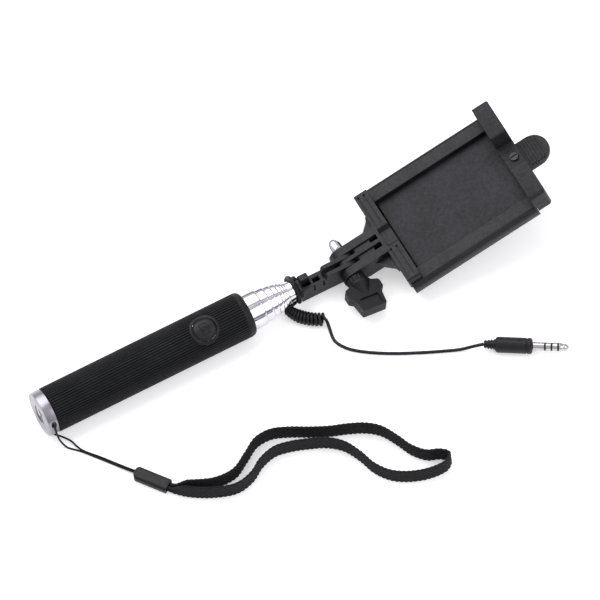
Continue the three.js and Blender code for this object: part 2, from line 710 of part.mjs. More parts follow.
// Where each contact of the jack starts and ends, from the shoulder of the plug's body.
const CONTACTS = {
  jack_sleeve: [0.3, 4.9],
  jack_ring_2: [5.5, 7.6],
  jack_ring_1: [8.2, 10.3],
};
const INSULATORS = [
  [4.9, 5.5],
  [7.6, 8.2],
  [10.3, 10.9],
];

function plugBoot() {
  const { boot, bootLength } = PLUG_BODY;
  return turned(
    [
      [0, 0],
      [0, boot - 0.7],
      [bootLength, boot],
      [bootLength, 0],
    ],
    16,
  );
}

function plugBody() {
  const { radius, length, coreStart } = PLUG_BODY;
  const body = turned(
    [
      [BODY_START, 0],
      [BODY_START, radius - 0.5],
      [BODY_START + 0.5, radius],
      [BODY_START + length - 0.8, radius],
      [BODY_START + length, radius - 0.6],
      [BODY_START + length, 0],
    ],
    24,
  );
  return cut(body, bar("x", JACK.core + 0.1, BODY_START + coreStart, JACK_START + 1, [0, 0], 16));
}

function jackCore() {
  const core = bar("x", JACK.core, BODY_START + PLUG_BODY.coreStart + 0.3, JACK_START + 11.6, [0, 0], 16);
  const collars = INSULATORS.map(([from, to]) => {
    const half = JACK.gap / 2;
    return bar("x", JACK.radius - 0.06, JACK_START + from + half, JACK_START + to - half, [0, 0], 20);
  });
  return join(core, ...collars);
}

function contact([from, to]) {
  const sleeve = bar("x", JACK.radius, JACK_START + from, JACK_START + to, [0, 0], 20);
  return cut(sleeve, bar("x", JACK.core + 0.1, JACK_START - 1, JACK_START + to + 1, [0, 0], 16));
}

function jackTip() {
  const { radius, core, length } = JACK;
  const at = (x, r) => [JACK_START + x, r];
  return turned(
    [
      at(10.9, core + 0.1),
      at(10.9, radius),
      at(12.1, radius),
      at(12.7, radius - 0.45),
      at(13.3, radius - 0.1),
      at(length - 0.3, 0.6),
      at(length, 0),
      at(11.8, 0),
      at(11.8, core + 0.1),
      at(10.9, core + 0.1),
    ],
    20,
  );
}

add(plug, "plug_boot", "plastic", plugBoot());
add(plug, "plug_body", "plastic", plugBody());
add(plug, "jack_core", "glossPlastic", jackCore());
for (const [name, span] of Object.entries(CONTACTS)) {
  add(plug, name, "steel", contact(span));
}
add(plug, "jack_tip", "steel", jackTip());

// ---------------------------------------------------------------- wrist strap

// The doubled string, from the end cap's hole to the ferrule.
const STRING_ROUTE = [
  [2.3, -9.9, -3.4],
  [2.5, -11.2, -6.4],
  [4.2, -13.4, STRING_Z + 0.3],
  [7.6, -17.8, STRING_Z],
  [13.2, -25.6, STRING_Z],
  [18.4, -33.2, STRING_Z + 0.1],
  [22.2, -38.8, TABLE + 1.6],
];

// The webbing's loop, from the ferrule out along one side and back along the other.
const WEB_ROUTE = [
  [30.8, -52.9],
  [32.5, -55.4],
  [37.0, -59.8],
  [46.1, -65.4],
  [55.0, -68.1],
  [62.5, -66.4],
  [68.6, -62.6],
  [75.6, -60.6],
  [82.0, -61.6],
  [89.6, -64.4],
  [96.4, -67.8],
  [101.6, -72.8],
  [105.0, -80.2],
  [107.2, -87.8],
  [111.4, -94.3],
  [117.8, -98.8],
  [126.0, -101.6],
  [133.4, -101.6],
  [136.2, -98.8],
  [133.6, -95.8],
  [128.6, -93.4],
  [124.4, -88.2],
  [121.6, -81.2],
  [118.0, -74.0],
  [113.2, -69.6],
  [106.6, -66.2],
  [99.6, -63.4],
  [92.4, -59.6],
  [85.6, -55.6],
  [78.4, -52.6],
  [71.4, -53.0],
  [64.4, -57.2],
  [57.0, -61.4],
  [48.6, -61.4],
  [41.2, -58.4],
  [34.2, -54.2],
  [32.4, -51.8],
];

// The strap stands on its edge, so it is its own outline seen from above, pushed up.
function webbing() {
  const curve = route(WEB_ROUTE.map(([x, y]) => [x, y, 0]));
  const count = 90;
  const sides = [[], []];
  for (let i = 0; i <= count; i += 1) {
    const point = curve.getPointAt(i / count);
    const along = curve.getTangentAt(i / count);
    const across = new THREE.Vector2(-along.y, along.x).multiplyScalar(WEB.thick / 2);
    sides[0].push([point.x + across.x, point.y + across.y]);
    sides[1].unshift([point.x - across.x, point.y - across.y]);
  }
  return prism("z", outline([...sides[0], ...sides[1]]), TABLE, TABLE + WEB.wide);
}

function ferrule() {
  const [x0, y0] = FERRULE.from;
  const [x1, y1] = FERRULE.to;
  const length = Math.hypot(x1 - x0, y1 - y0);
  const half = FERRULE.wide / 2;
  const shape = new THREE.Shape();
  shape.moveTo(length, -half);
  shape.lineTo(length, half);
  shape.lineTo(2.4, half);
  shape.quadraticCurveTo(0, half, 0, half - 1.8);
  shape.lineTo(0, -half + 1.8);
  shape.quadraticCurveTo(0, -half, 2.4, -half);
  const sleeve = prism("z", shape, TABLE, TABLE + FERRULE.high, 5);
  return sleeve.rotateZ(Math.atan2(y1 - y0, x1 - x0)).translate(x0, y0, 0);
}

add(stick, "strap_string", "cord", cordAlong(route(STRING_ROUTE), STRING_RADIUS, 24));
add(stick, "strap_ferrule", "plastic", ferrule());
add(stick, "strap_webbing", "webbing", webbing());

// ---------------------------------------------------------------- the whole part

stick.position.set(-MIDDLE, 0, -TABLE);
const part = new THREE.Group();
part.add(stick);

export default part;
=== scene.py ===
"""The looks of a folded selfie stick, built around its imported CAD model.

Three frames of millimetres are used, and a matrix takes each to the row frame in metres:
POLE has X along the pole's axis, from the end cap's outer face,
CLAMP has X along the clamp's slide from the tilt hinge and Z out of the clamp's front, and
PLUG has X along the plug from its boot.
"""

import json
import math

import bmesh
import bpy
from mathutils import Matrix, Vector


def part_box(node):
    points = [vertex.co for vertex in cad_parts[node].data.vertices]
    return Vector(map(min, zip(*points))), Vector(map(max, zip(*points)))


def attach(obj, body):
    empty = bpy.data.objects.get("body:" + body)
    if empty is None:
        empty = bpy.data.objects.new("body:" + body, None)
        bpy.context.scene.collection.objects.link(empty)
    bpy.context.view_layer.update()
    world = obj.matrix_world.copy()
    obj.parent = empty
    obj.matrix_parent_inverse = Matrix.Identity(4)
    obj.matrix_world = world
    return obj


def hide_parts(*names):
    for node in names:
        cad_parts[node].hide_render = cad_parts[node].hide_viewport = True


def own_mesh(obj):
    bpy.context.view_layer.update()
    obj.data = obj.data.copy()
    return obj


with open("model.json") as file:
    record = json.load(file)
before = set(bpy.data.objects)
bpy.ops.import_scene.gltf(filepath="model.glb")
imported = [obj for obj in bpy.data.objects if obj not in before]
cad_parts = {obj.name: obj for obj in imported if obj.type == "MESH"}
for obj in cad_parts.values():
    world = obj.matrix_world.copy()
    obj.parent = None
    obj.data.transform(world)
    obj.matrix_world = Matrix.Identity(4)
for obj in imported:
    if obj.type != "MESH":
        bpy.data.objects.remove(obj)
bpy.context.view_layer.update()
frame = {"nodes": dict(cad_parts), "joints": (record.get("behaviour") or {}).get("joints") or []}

# ---------------------------------------------------------------- frames

MM = 0.001
JOINTS = {joint["name"]: joint for joint in frame["joints"]}
UP = Vector((0, 0, 1))


def centre(node):
    low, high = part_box(node)
    return (low + high) / 2


def axes(origin, x, y):
    """The matrix to the row frame from a frame in millimetres with these X and Y directions."""
    turn = Matrix((x, y, x.cross(y))).transposed().to_4x4()
    return Matrix.Translation(origin) @ turn @ Matrix.Scale(MM, 4)


ACROSS = Vector((0, 1, 0))
HINGE_X = 142.5
HINGE_AT = Vector(JOINTS["clamp_tilt"]["pos_m"])
POLE_START = Vector((HINGE_AT.x - HINGE_X * MM, 0, centre("grip").z))
HINGE_Z = (HINGE_AT.z - POLE_START.z) / MM
SLIDE = Vector(JOINTS["jaw_slide"]["axis"])
POLE = axes(POLE_START, Vector((1, 0, 0)), ACROSS)
CLAMP = axes(HINGE_AT, SLIDE, ACROSS)
PRESS = -Vector(JOINTS["button_press"]["axis"])
BUTTON_X = (centre("button_cap").x - POLE_START.x) / MM
BUTTON = POLE @ Matrix.Translation((BUTTON_X, 0, 0)) @ UP.rotation_difference(PRESS).to_matrix().to_4x4()

# ---------------------------------------------------------------- camera, light and floor

CAMERA_RIGHT = Vector((0.879, -0.473, -0.062))
CAMERA_UP = Vector((0.433, 0.736, 0.519))
CAMERA_TARGET = Vector((-0.0007, -0.0055, 0.00975))
CAMERA_DISTANCE = 8.0
SENSOR = 36.0
VIEW_WIDTH = 0.2449


def make_camera():
    data = bpy.data.cameras.new("camera")
    data.sensor_width = SENSOR
    data.lens = SENSOR * CAMERA_DISTANCE / VIEW_WIDTH
    camera = bpy.data.objects.new("camera", data)
    bpy.context.scene.collection.objects.link(camera)
    back = CAMERA_RIGHT.cross(CAMERA_UP)
    camera.matrix_world = Matrix.Translation(CAMERA_TARGET + back * CAMERA_DISTANCE) @ (
        Matrix((CAMERA_RIGHT, CAMERA_UP, back)).transposed().to_4x4()
    )
    bpy.context.scene.camera = camera


def area_light(name, place, size, power):
    """A soft square lamp that faces the middle of the object."""
    data = bpy.data.lights.new(name, "AREA")
    data.size = size
    data.energy = power
    lamp = bpy.data.objects.new(name, data)
    bpy.context.scene.collection.objects.link(lamp)
    place = Vector(place)
    lamp.matrix_world = Matrix.Translation(place) @ place.to_track_quat("Z", "Y").to_matrix().to_4x4()


def make_studio():
    """A tent that is grey at the horizon and white above, over a plain pale floor."""
    world = bpy.data.worlds.new("studio")
    bpy.context.scene.world = world
    world.use_nodes = True
    nodes, links = world.node_tree.nodes, world.node_tree.links
    place = nodes.new("ShaderNodeTexCoord")
    split = nodes.new("ShaderNodeSeparateXYZ")
    ramp = nodes.new("ShaderNodeValToRGB")
    bands = [(0.0, 0.16), (0.22, 0.42), (0.30, 0.78), (0.55, 0.62), (0.75, 0.85), (1.0, 0.55)]
    while len(ramp.color_ramp.elements) < len(bands):
        ramp.color_ramp.elements.new(0.5)
    for element, (height, grey) in zip(ramp.color_ramp.elements, bands):
        element.position = height
        element.color = (grey * 0.985, grey * 0.975, grey * 1.02, 1)
    links.new(place.outputs["Generated"], split.inputs[0])
    links.new(split.outputs["Z"], ramp.inputs["Fac"])
    links.new(ramp.outputs["Color"], nodes["Background"].inputs["Color"])
    nodes["Background"].inputs["Strength"].default_value = 1.0
    area_light("key", (-0.12, 0.55, 0.95), 1.1, 10)
    area_light("fill", (0.5, -0.7, 0.7), 0.9, 4)
    bpy.ops.mesh.primitive_plane_add(size=8)
    floor = bpy.context.object
    floor.name = "floor"
    paper = material("floor_paper", (0.82, 0.82, 0.82), 0.9)
    shader_input(paper, "Emission Color").default_value = (1, 1, 1, 1)
    shader_input(paper, "Emission Strength").default_value = 0.42
    floor.data.materials.append(paper)
    bpy.context.scene.view_settings.view_transform = "Standard"


# ---------------------------------------------------------------- materials


def material(name, color, roughness, metallic=0.0, specular=0.5):
    made = bpy.data.materials.new(name)
    made.use_nodes = True
    inputs = made.node_tree.nodes["Principled BSDF"].inputs
    inputs["Base Color"].default_value = (*color, 1)
    inputs["Roughness"].default_value = roughness
    inputs["Metallic"].default_value = metallic
    inputs["Specular IOR Level"].default_value = specular
    return made


def shader_input(made, name):
    return made.node_tree.nodes["Principled BSDF"].inputs[name]


def noise(made, scale, detail=2.0, stretch=(1, 1, 1)):
    """Noise over the piece's own place, in grains per metre."""
    nodes, links = made.node_tree.nodes, made.node_tree.links
    place = nodes.new("ShaderNodeTexCoord")
    mapping = nodes.new("ShaderNodeMapping")
    mapping.inputs["Scale"].default_value = stretch
    texture = nodes.new("ShaderNodeTexNoise")
    texture.inputs["Scale"].default_value = scale
    texture.inputs["Detail"].default_value = detail
    links.new(place.outputs["Object"], mapping.inputs["Vector"])
    links.new(mapping.outputs["Vector"], texture.inputs["Vector"])
    return texture.outputs["Fac"]


def vary(made, name, source, low, high):
    """Lets a texture move one of the shader's inputs between two values."""
    spread = made.node_tree.nodes.new("ShaderNodeMapRange")
    spread.inputs["From Min"].default_value = 0.3
    spread.inputs["From Max"].default_value = 0.7
    spread.inputs["To Min"].default_value = low
    spread.inputs["To Max"].default_value = high
    made.node_tree.links.new(source, spread.inputs["Value"])
    made.node_tree.links.new(spread.outputs["Result"], shader_input(made, name))


def tint(made, source, low, high):
    """Lets a texture move the base colour between two colours."""
    ramp = made.node_tree.nodes.new("ShaderNodeValToRGB")
    ramp.color_ramp.elements[0].position = 0.35
    ramp.color_ramp.elements[0].color = (*low, 1)
    ramp.color_ramp.elements[1].position = 0.65
    ramp.color_ramp.elements[1].color = (*high, 1)
    made.node_tree.links.new(source, ramp.inputs["Fac"])
    made.node_tree.links.new(ramp.outputs["Color"], shader_input(made, "Base Color"))


def bump(made, *layers):
    """Stacks bump layers, each a height source with its depth in metres."""
    nodes, links = made.node_tree.nodes, made.node_tree.links
    under = None
    for source, depth in layers:
        layer = nodes.new("ShaderNodeBump")
        layer.inputs["Distance"].default_value = depth
        links.new(source, layer.inputs["Height"])
        if under:
            links.new(under.outputs["Normal"], layer.inputs["Normal"])
        under = layer
    links.new(under.outputs["Normal"], shader_input(made, "Normal"))


def moulded(name, dark, light, smooth, rough, grain, depth):
    """Black moulded plastic or rubber: clouded colour, uneven gloss and a fine grain."""
    made = material(name, light, rough, specular=0.28)
    tint(made, noise(made, 90, 4), dark, light)
    vary(made, "Roughness", noise(made, 700, 5), smooth, rough)
    bump(made, (noise(made, grain, 3), depth), (noise(made, 350, 2), depth * 1.5))
    return made


def polished(name, low, high, smooth, rough, scratch, depth, stretch=(1, 1, 1)):
    """Bare metal with fine marks that run along one direction."""
    made = material(name, high, rough, 1.0)
    marks = noise(made, scratch, 4, stretch)
    tint(made, noise(made, 160, 3), low, high)
    vary(made, "Roughness", marks, smooth, rough)
    bump(made, (marks, depth))
    return made


LENGTHWISE = (0.04, 1, 1)
RUBBER = moulded("ribbed_rubber", (0.004, 0.0042, 0.0055), (0.008, 0.0082, 0.0105), 0.5, 0.72, 9000, 3e-5)
PAD_RUBBER = moulded("pad_rubber", (0.004, 0.004, 0.005), (0.008, 0.008, 0.01), 0.6, 0.8, 7000, 4e-5)
PLASTIC = moulded("satin_plastic", (0.0055, 0.0055, 0.0072), (0.0105, 0.0103, 0.0135), 0.36, 0.52, 6000, 2e-5)
# A darker copy of the satin plastic, kept for the wing knob: its extra darkness is painted shade for the
# knob's shaded side.
SHADE_DARKENED_PLASTIC = moulded(
    "painted_shade_plastic", (0.0028, 0.0028, 0.0038), (0.0058, 0.0058, 0.0074), 0.42, 0.58, 6000, 2e-5
)
PANEL = moulded("panel_plastic", (0.0078, 0.0077, 0.011), (0.015, 0.0144, 0.0205), 0.45, 0.6, 3500, 6e-5)
SPARKED = moulded(
    "sparked_plastic", (0.007, 0.0069, 0.0092), (0.0138, 0.0133, 0.0176), 0.45, 0.62, 1700, 1.4e-4
)
CORD_SKIN = moulded("cord_jacket", (0.003, 0.003, 0.004), (0.006, 0.006, 0.008), 0.3, 0.48, 4000, 1e-5)
CHROME = polished("chrome_plate", (0.62, 0.6, 0.66), (0.78, 0.76, 0.82), 0.05, 0.15, 2500, 2e-6, LENGTHWISE)
TURNED_FACE = polished("turned_aluminium", (0.27, 0.26, 0.29), (0.38, 0.36, 0.4), 0.26, 0.4, 5000, 6e-6)
NICKEL = polished("nickel_plate", (0.46, 0.44, 0.45), (0.6, 0.58, 0.59), 0.16, 0.3, 3000, 3e-6)
BLACK_STEEL = polished("black_steel", (0.03, 0.03, 0.034), (0.06, 0.06, 0.068), 0.35, 0.55, 3000, 3e-6)


def thread_material(name, dark, light):
    """Spun nylon: dull fibres with a faint sheen."""
    made = material(name, light, 0.8, specular=0.3)
    tint(made, noise(made, 2500, 3), dark, light)
    vary(made, "Roughness", noise(made, 5000, 3), 0.62, 0.9)
    bump(made, (noise(made, 9000, 4), 8e-5))
    shader_input(made, "Sheen Weight").default_value = 0.05
    shader_input(made, "Sheen Roughness").default_value = 0.5
    return made


NYLON = thread_material("braided_nylon", (0.0018, 0.0018, 0.0026), (0.0068, 0.0068, 0.0090))


def board_material():
    made = material("circuit_board", (0.02, 0.12, 0.05), 0.4)
    tint(made, noise(made, 1500, 2), (0.012, 0.08, 0.03), (0.03, 0.16, 0.06))
    bump(made, (noise(made, 4000, 2), 1e-5))
    return made


BOARD = board_material()

# ---------------------------------------------------------------- mesh tools

SIDES = 96


def ring_angles(count=SIDES):
    return [2 * math.pi * index / count for index in range(count)]


def new_object(name, vertices, faces):
    mesh = bpy.data.meshes.new(name)
    mesh.from_pydata([tuple(v) for v in vertices], [], faces)
    work = bmesh.new()
    work.from_mesh(mesh)
    bmesh.ops.recalc_face_normals(work, faces=work.faces)
    work.to_mesh(mesh)
    work.free()
    made = bpy.data.objects.new(name, mesh)
    bpy.context.scene.collection.objects.link(made)
    return made


def grid_faces(rows, columns, closed_rows=False, closed_columns=True):
    """Quads between rows of points, each row joined to the next."""
    faces = []
    for row in range(rows if closed_rows else rows - 1):
        here, there = row * columns, (row + 1) % rows * columns
        for column in range(columns if closed_columns else columns - 1):
            beside = (column + 1) % columns
            faces.append((here + column, here + beside, there + beside, there + column))
    return faces


def lathe(name, profile, angles=None, carve=None):
    """A turned piece about X from (x, radius) points, which either close on themselves or start
    and end on the axis. A third number in a point is how much of carve(angle, x) it loses."""
    angles = angles or ring_angles()
    closed = profile[0] == profile[-1]
    rows = profile[:-1] if closed else profile[1:-1]
    vertices = []
    for x, radius, *share in rows:
        for angle in angles:
            r = radius - share[0] * carve(angle, x) if share else radius
            vertices.append((x, r * math.cos(angle), r * math.sin(angle)))
    columns = len(angles)
    faces = grid_faces(len(rows), columns, closed_rows=closed)
    if not closed:
        for end, row in ((profile[0], 0), (profile[-1], len(rows) - 1)):
            tip = len(vertices)
            vertices.append((end[0], 0, 0))
            first = row * columns
            faces += [(tip, first + i, first + (i + 1) % columns) for i in range(columns)]
    return new_object(name, vertices, faces)


def rounded(points, segments=5):
    """An outline whose corners (x, y, radius) become arcs. Corners without a radius stay sharp."""
    outline = []
    for index, (x, y, *radius) in enumerate(points):
        if not radius:
            outline.append(Vector((x, y)))
            continue
        corner = Vector((x, y))
        before = Vector(points[index - 1][:2]) - corner
        after = Vector(points[(index + 1) % len(points)][:2]) - corner
        half = before.angle(after) / 2
        reach = radius[0] / math.tan(half)
        inward = (before.normalized() + after.normalized()).normalized()
        middle = corner + inward * (radius[0] / math.sin(half))
        start = corner + before.normalized() * reach - middle
        turn = before.angle_signed(after)
        sweep = -math.copysign(math.pi - abs(turn), turn)
        for step in range(segments + 1):
            outline.append(middle + Matrix.Rotation(-sweep * step / segments, 2) @ start)
    return outline


def prism(name, axis, outline, low, high):
    """A flat outline pushed along an axis. Its coordinates are (y, z) for x, (x, z) for y and
    (x, y) for z."""
    place = {
        "x": lambda a, b, c: (c, a, b),
        "y": lambda a, b, c: (a, c, b),
        "z": lambda a, b, c: (a, b, c),
    }[axis]
    count = len(outline)
    vertices = [place(point[0], point[1], level) for level in (low, high) for point in outline]
    faces = [tuple(range(count)), tuple(range(count, 2 * count))]
    faces += [(i, (i + 1) % count, count + (i + 1) % count, count + i) for i in range(count)]
    return new_object(name, vertices, faces)


def block(name, x, y, z):
    return prism(name, "z", [(x[0], y[0]), (x[1], y[0]), (x[1], y[1]), (x[0], y[1])], *z)


def bar(name, axis, radius, low, high, at=(0, 0), sides=48):
    circle = [(at[0] + radius * math.cos(a), at[1] + radius * math.sin(a)) for a in ring_angles(sides)]
    return prism(name, axis, circle, low, high)


def settle(made):
    """Turns the modifiers of a piece into its mesh."""
    bpy.context.view_layer.update()
    graph = bpy.context.evaluated_depsgraph_get()
    mesh = bpy.data.meshes.new_from_object(made.evaluated_get(graph), depsgraph=graph)
    made.modifiers.clear()
    made.data = mesh
    return made


def combine(made, operation, others):
    for other in others:
        cutter = made.modifiers.new("combine", "BOOLEAN")
        cutter.operation = operation
        cutter.solver = "EXACT"
        cutter.object = other
    settle(made)
    for other in others:
        bpy.data.objects.remove(other)
    return made


def join(made, *others):
    return combine(made, "UNION", others)


def cut(made, *others):
    return combine(made, "DIFFERENCE", others)


def common(made, *others):
    return combine(made, "INTERSECT", others)


def soften(made, width=0.3, segments=2, angle=32):
    """Rounds the sharp edges, as a mould or a tumbling barrel leaves them."""
    for face in made.data.polygons:
        face.use_smooth = True
    edge = made.modifiers.new("soften", "BEVEL")
    edge.width = width
    edge.segments = segments
    edge.limit_method = "ANGLE"
    edge.angle_limit = math.radians(angle)
    edge.harden_normals = True
    edge.use_clamp_overlap = True
    return settle(made)


def smooth(made, angle=35):
    for face in made.data.polygons:
        face.use_smooth = True
    made.data.set_sharp_from_angle(angle=math.radians(angle))
    return made


def show(made, to_row, body, slot, finish, *nodes):
    """Puts a finished piece in its place, on its body, in place of the CAD nodes it stands for."""
    made.data.transform(to_row)
    made.data.materials.clear()
    made.data.materials.append(finish)
    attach(made, body)
    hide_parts(*nodes)
    return made


def smooth_path(points, steps=8):
    """A centripetal Catmull-Rom curve through given points, as the CAD's cords are."""
    points = [Vector(point) for point in points]
    ends = [2 * points[0] - points[1], *points, 2 * points[-1] - points[-2]]
    path = []
    for a, b, c, d in zip(ends, ends[1:], ends[2:], ends[3:]):
        t1 = (b - a).length ** 0.5
        t2 = t1 + (c - b).length ** 0.5
        t3 = t2 + (d - c).length ** 0.5
        for step in range(steps):
            t = t1 + (t2 - t1) * step / steps
            early = a.lerp(b, t / t1)
            middle = b.lerp(c, (t - t1) / (t2 - t1))
            late = c.lerp(d, (t - t2) / (t3 - t2))
            left = early.lerp(middle, t / t2)
            right = middle.lerp(late, (t - t1) / (t3 - t1))
            path.append(left.lerp(right, (t - t1) / (t2 - t1)))
    return [*path, points[-1]]


def path_length(path):
    return sum((b - a).length for a, b in zip(path, path[1:]))


def helix(start, end, radius, turns, steps):
    """Points of a coil round the line from start to end, the first one straight above it."""
    start, end = Vector(start), Vector(end)
    along = (end - start).normalized()
    side = along.cross(UP)
    above = side.cross(along)
    count = int(turns * steps)
    points = []
    for index in range(count + 1):
        angle = 2 * math.pi * turns * index / count
        offset = above * math.cos(angle) + side * math.sin(angle)
        points.append(start.lerp(end, index / count) + offset * radius)
    return points


def cord_curve(name, path, diameter):
    """A round cord as one open spline in metres."""
    data = bpy.data.curves.new(name, "CURVE")
    data.dimensions = "3D"
    data.bevel_depth = diameter / 2
    data.bevel_resolution = 4
    data.use_fill_caps = True
    spline = data.splines.new("POLY")
    spline.points.add(len(path) - 1)
    for point, place in zip(spline.points, path):
        point.co = (*place, 1)
    spline.use_smooth = True
    made = bpy.data.objects.new(name, data)
    bpy.context.scene.collection.objects.link(made)
    return made


def tube_along(name, path, radius, sides=10):
    """A round closed tube along a path, as a mesh."""
    vertices = []
    normal = (path[1] - path[0]).orthogonal().normalized()
    for index, place in enumerate(path):
        along = (path[min(index + 1, len(path) - 1)] - path[max(index - 1, 0)]).normalized()
        normal = (normal - along * normal.dot(along)).normalized()
        side = along.cross(normal)
        for angle in ring_angles(sides):
            vertices.append(place + (normal * math.cos(angle) + side * math.sin(angle)) * radius)
    faces = grid_faces(len(path), sides)
    last = (len(path) - 1) * sides
    faces += [tuple(range(sides)), tuple(range(last, last + sides))]
    return new_object(name, vertices, faces)


# ---------------------------------------------------------------- audio lead and strap cords

TABLE = -POLE_START.z / MM
CORD = 1.4
CORD_Z = TABLE + CORD / 2 + 0.05
GLAND_MOUTH = (120.9, 1.55, 1.9)
NECK_RISE = [(123.0, 1.55, 1.9), (121.6, 1.55, 1.95), (120.5, 1.75, 2.7), (119.5, 2.2, 3.9)]
WRAP = {"start": 117.75, "end": 116.4, "radius": 5.7, "from": 58, "to": -485, "leaves": -300}
COIL = {"start": (112.9, -3.6), "bend": (114.9, -10.5), "end": (123.2, -14.8)}
COIL_TURNS = 11
COIL_OUTER = {"first": 2.3, "full": 2.9}
LEAD_ROUTE = [
    (124.1, -15.9, -7.6), (123.6, -19.0, -8.5), (122.7, -24.8, CORD_Z), (125.1, -30.2, CORD_Z),
    (129.7, -34.9, CORD_Z), (138.6, -41.2, CORD_Z), (149.8, -47.4, CORD_Z), (158.4, -51.6, CORD_Z),
    (164.9, -54.6, CORD_Z + 0.2), (170.2, -57.0, -7.2), (173.8, -58.5, -6.5),
]


def neck_wraps():
    """The turns of the lead round the pole's neck: tight against the head, then back over it."""
    points = []
    count = 44
    for index in range(count + 1):
        angle = WRAP["from"] + (WRAP["to"] - WRAP["from"]) * index / count
        # The cord leaves the head's disc after its first turn, and starts a little closer to the axis.
        back = max(0.0, (angle - WRAP["leaves"]) / (WRAP["to"] - WRAP["leaves"]))
        x = WRAP["start"] + (WRAP["end"] - WRAP["start"]) * min(1.0, 1.6 * back)
        reach = WRAP["radius"] * min(1.0, 0.8 + 0.6 * index / count)
        turn = math.radians(angle)
        points.append((x, reach * math.cos(turn), reach * math.sin(turn)))
    return points


def lead_coil():
    """The coiled stretch, which bends down from the neck to the table and grows a little wider."""
    start, bend, end = (Vector((*COIL[key], 0)) for key in ("start", "bend", "end"))
    first, full = COIL_OUTER["first"], COIL_OUTER["full"]
    count = COIL_TURNS * 20
    points = []
    for index in range(count + 1):
        share = index / count
        middle = start.lerp(bend, share).lerp(bend.lerp(end, share), share)
        along = (bend - start).lerp(end - bend, share).normalized()
        outer = first + (full - first) * min(1.0, 2.5 * share)
        middle.z = TABLE + full + 0.1 * (1 - share)
        angle = 2 * math.pi * COIL_TURNS * share
        offset = UP * math.cos(angle) + along.cross(UP) * math.sin(angle)
        points.append(middle + offset * (outer - CORD / 2))
    return points


def audio_lead():
    path = [POLE @ point for point in smooth_path([*NECK_RISE, *neck_wraps(), *lead_coil(), *LEAD_ROUTE], 3)]
    lead = cord_curve("audio_lead", path, CORD * MM)
    lead.data.materials.append(CORD_SKIN)
    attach(lead, "head")
    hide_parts("cable_wrap", "cable_coil", "cable_lead")
    return lead, path_length(path)


STRING = 0.8
STRING_Z = TABLE + STRING / 2 + 0.2
# The string's two strands, from the ferrule to the two mouths of the end cap's cross hole.
STRING_OUT = [
    (23.6, -40.2, TABLE + 1.7), (21.7, -37.6, TABLE + 1.2), (18.2, -32.3, STRING_Z + 0.1),
    (13.3, -25.2, STRING_Z), (8.4, -18.4, STRING_Z), (4.6, -14.2, STRING_Z + 0.2),
    (2.9, -11.9, -5.6), (2.3, -10.7, -1.6), (2.3, -9.9, 1.6), (2.3, -9.1, 3.0),
]
STRING_BACK = [
    (2.3, -5.6, -7.4), (3.0, -6.2, -8.7), (5.2, -8.6, STRING_Z), (7.3, -12.0, STRING_Z),
    (8.2, -15.4, STRING_Z), (9.4, -18.6, STRING_Z), (14.0, -24.8, STRING_Z),
    (18.9, -31.9, STRING_Z + 0.1), (22.4, -37.2, TABLE + 1.2), (24.3, -39.8, TABLE + 1.7),
]


def strap_string():
    """One thin string, doubled: out to the end cap, through its cross hole and back."""
    path = [POLE @ point for point in smooth_path([*STRING_OUT, *STRING_BACK])]
    string = cord_curve("strap_cord", path, STRING * MM)
    string.data.materials.append(NYLON)
    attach(string, "handle")
    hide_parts("strap_string")
    return string, path_length(path)


WEB = {"thick": 1.5, "wide": 8.0, "columns": 8, "stitch": 1.9, "relief": 0.42, "tucked": 2.4, "spread": 8.0}
WEB_ROUTE = [
    (30.0, -51.7), (30.8, -52.9), (32.5, -55.4), (37.0, -59.8), (46.1, -65.4), (55.0, -68.1),
    (62.5, -66.4), (68.6, -62.6), (75.6, -60.6), (82.0, -61.6), (89.6, -64.4), (96.4, -67.8),
    (101.6, -72.8), (105.0, -80.2), (107.2, -87.8), (111.4, -94.3), (117.8, -98.8),
    (126.0, -101.6), (133.4, -101.6), (136.2, -98.8), (133.6, -95.8), (128.6, -93.4),
    (124.4, -88.2), (121.6, -81.2), (118.0, -74.0), (113.2, -69.6), (106.6, -66.2), (99.6, -63.4),
    (92.4, -59.6), (85.6, -55.6), (78.4, -52.6), (71.4, -53.0), (64.4, -57.2), (57.0, -61.4),
    (48.6, -61.4), (41.2, -58.4), (34.2, -54.2), (32.4, -51.8), (31.6, -50.6),
]


def resampled(path, step):
    """The same path with points an even distance apart."""
    points, spare = [path[0]], 0.0
    for a, b in zip(path, path[1:]):
        length = (b - a).length
        reach = step - spare
        while reach <= length:
            points.append(a.lerp(b, reach / length))
            reach += step
        spare = length - (reach - step)
    return [*points, path[-1]]


def braid_height(across, along):
    """How far the braid's surface stands out: plump stitches in staggered columns."""
    column = across * WEB["columns"]
    shift = 0.5 * (int(column) % 2)
    plump = math.sin(math.pi * (column % 1)) ** 0.6
    stitch = abs(math.sin(math.pi * (along / WEB["stitch"] + shift))) ** 0.6
    return WEB["relief"] * (plump * stitch - 0.5)


def tucked(place, end):
    """The strap's lower edge and its height over the table: gathered where the ferrule holds it."""
    share = min(1.0, max(0.0, ((place - end).length - 1.5) / WEB["spread"]))
    ease = share * share * (3 - 2 * share)
    low = 0.45 * (1 - ease)
    return low, WEB["tucked"] + (WEB["wide"] - WEB["tucked"]) * ease


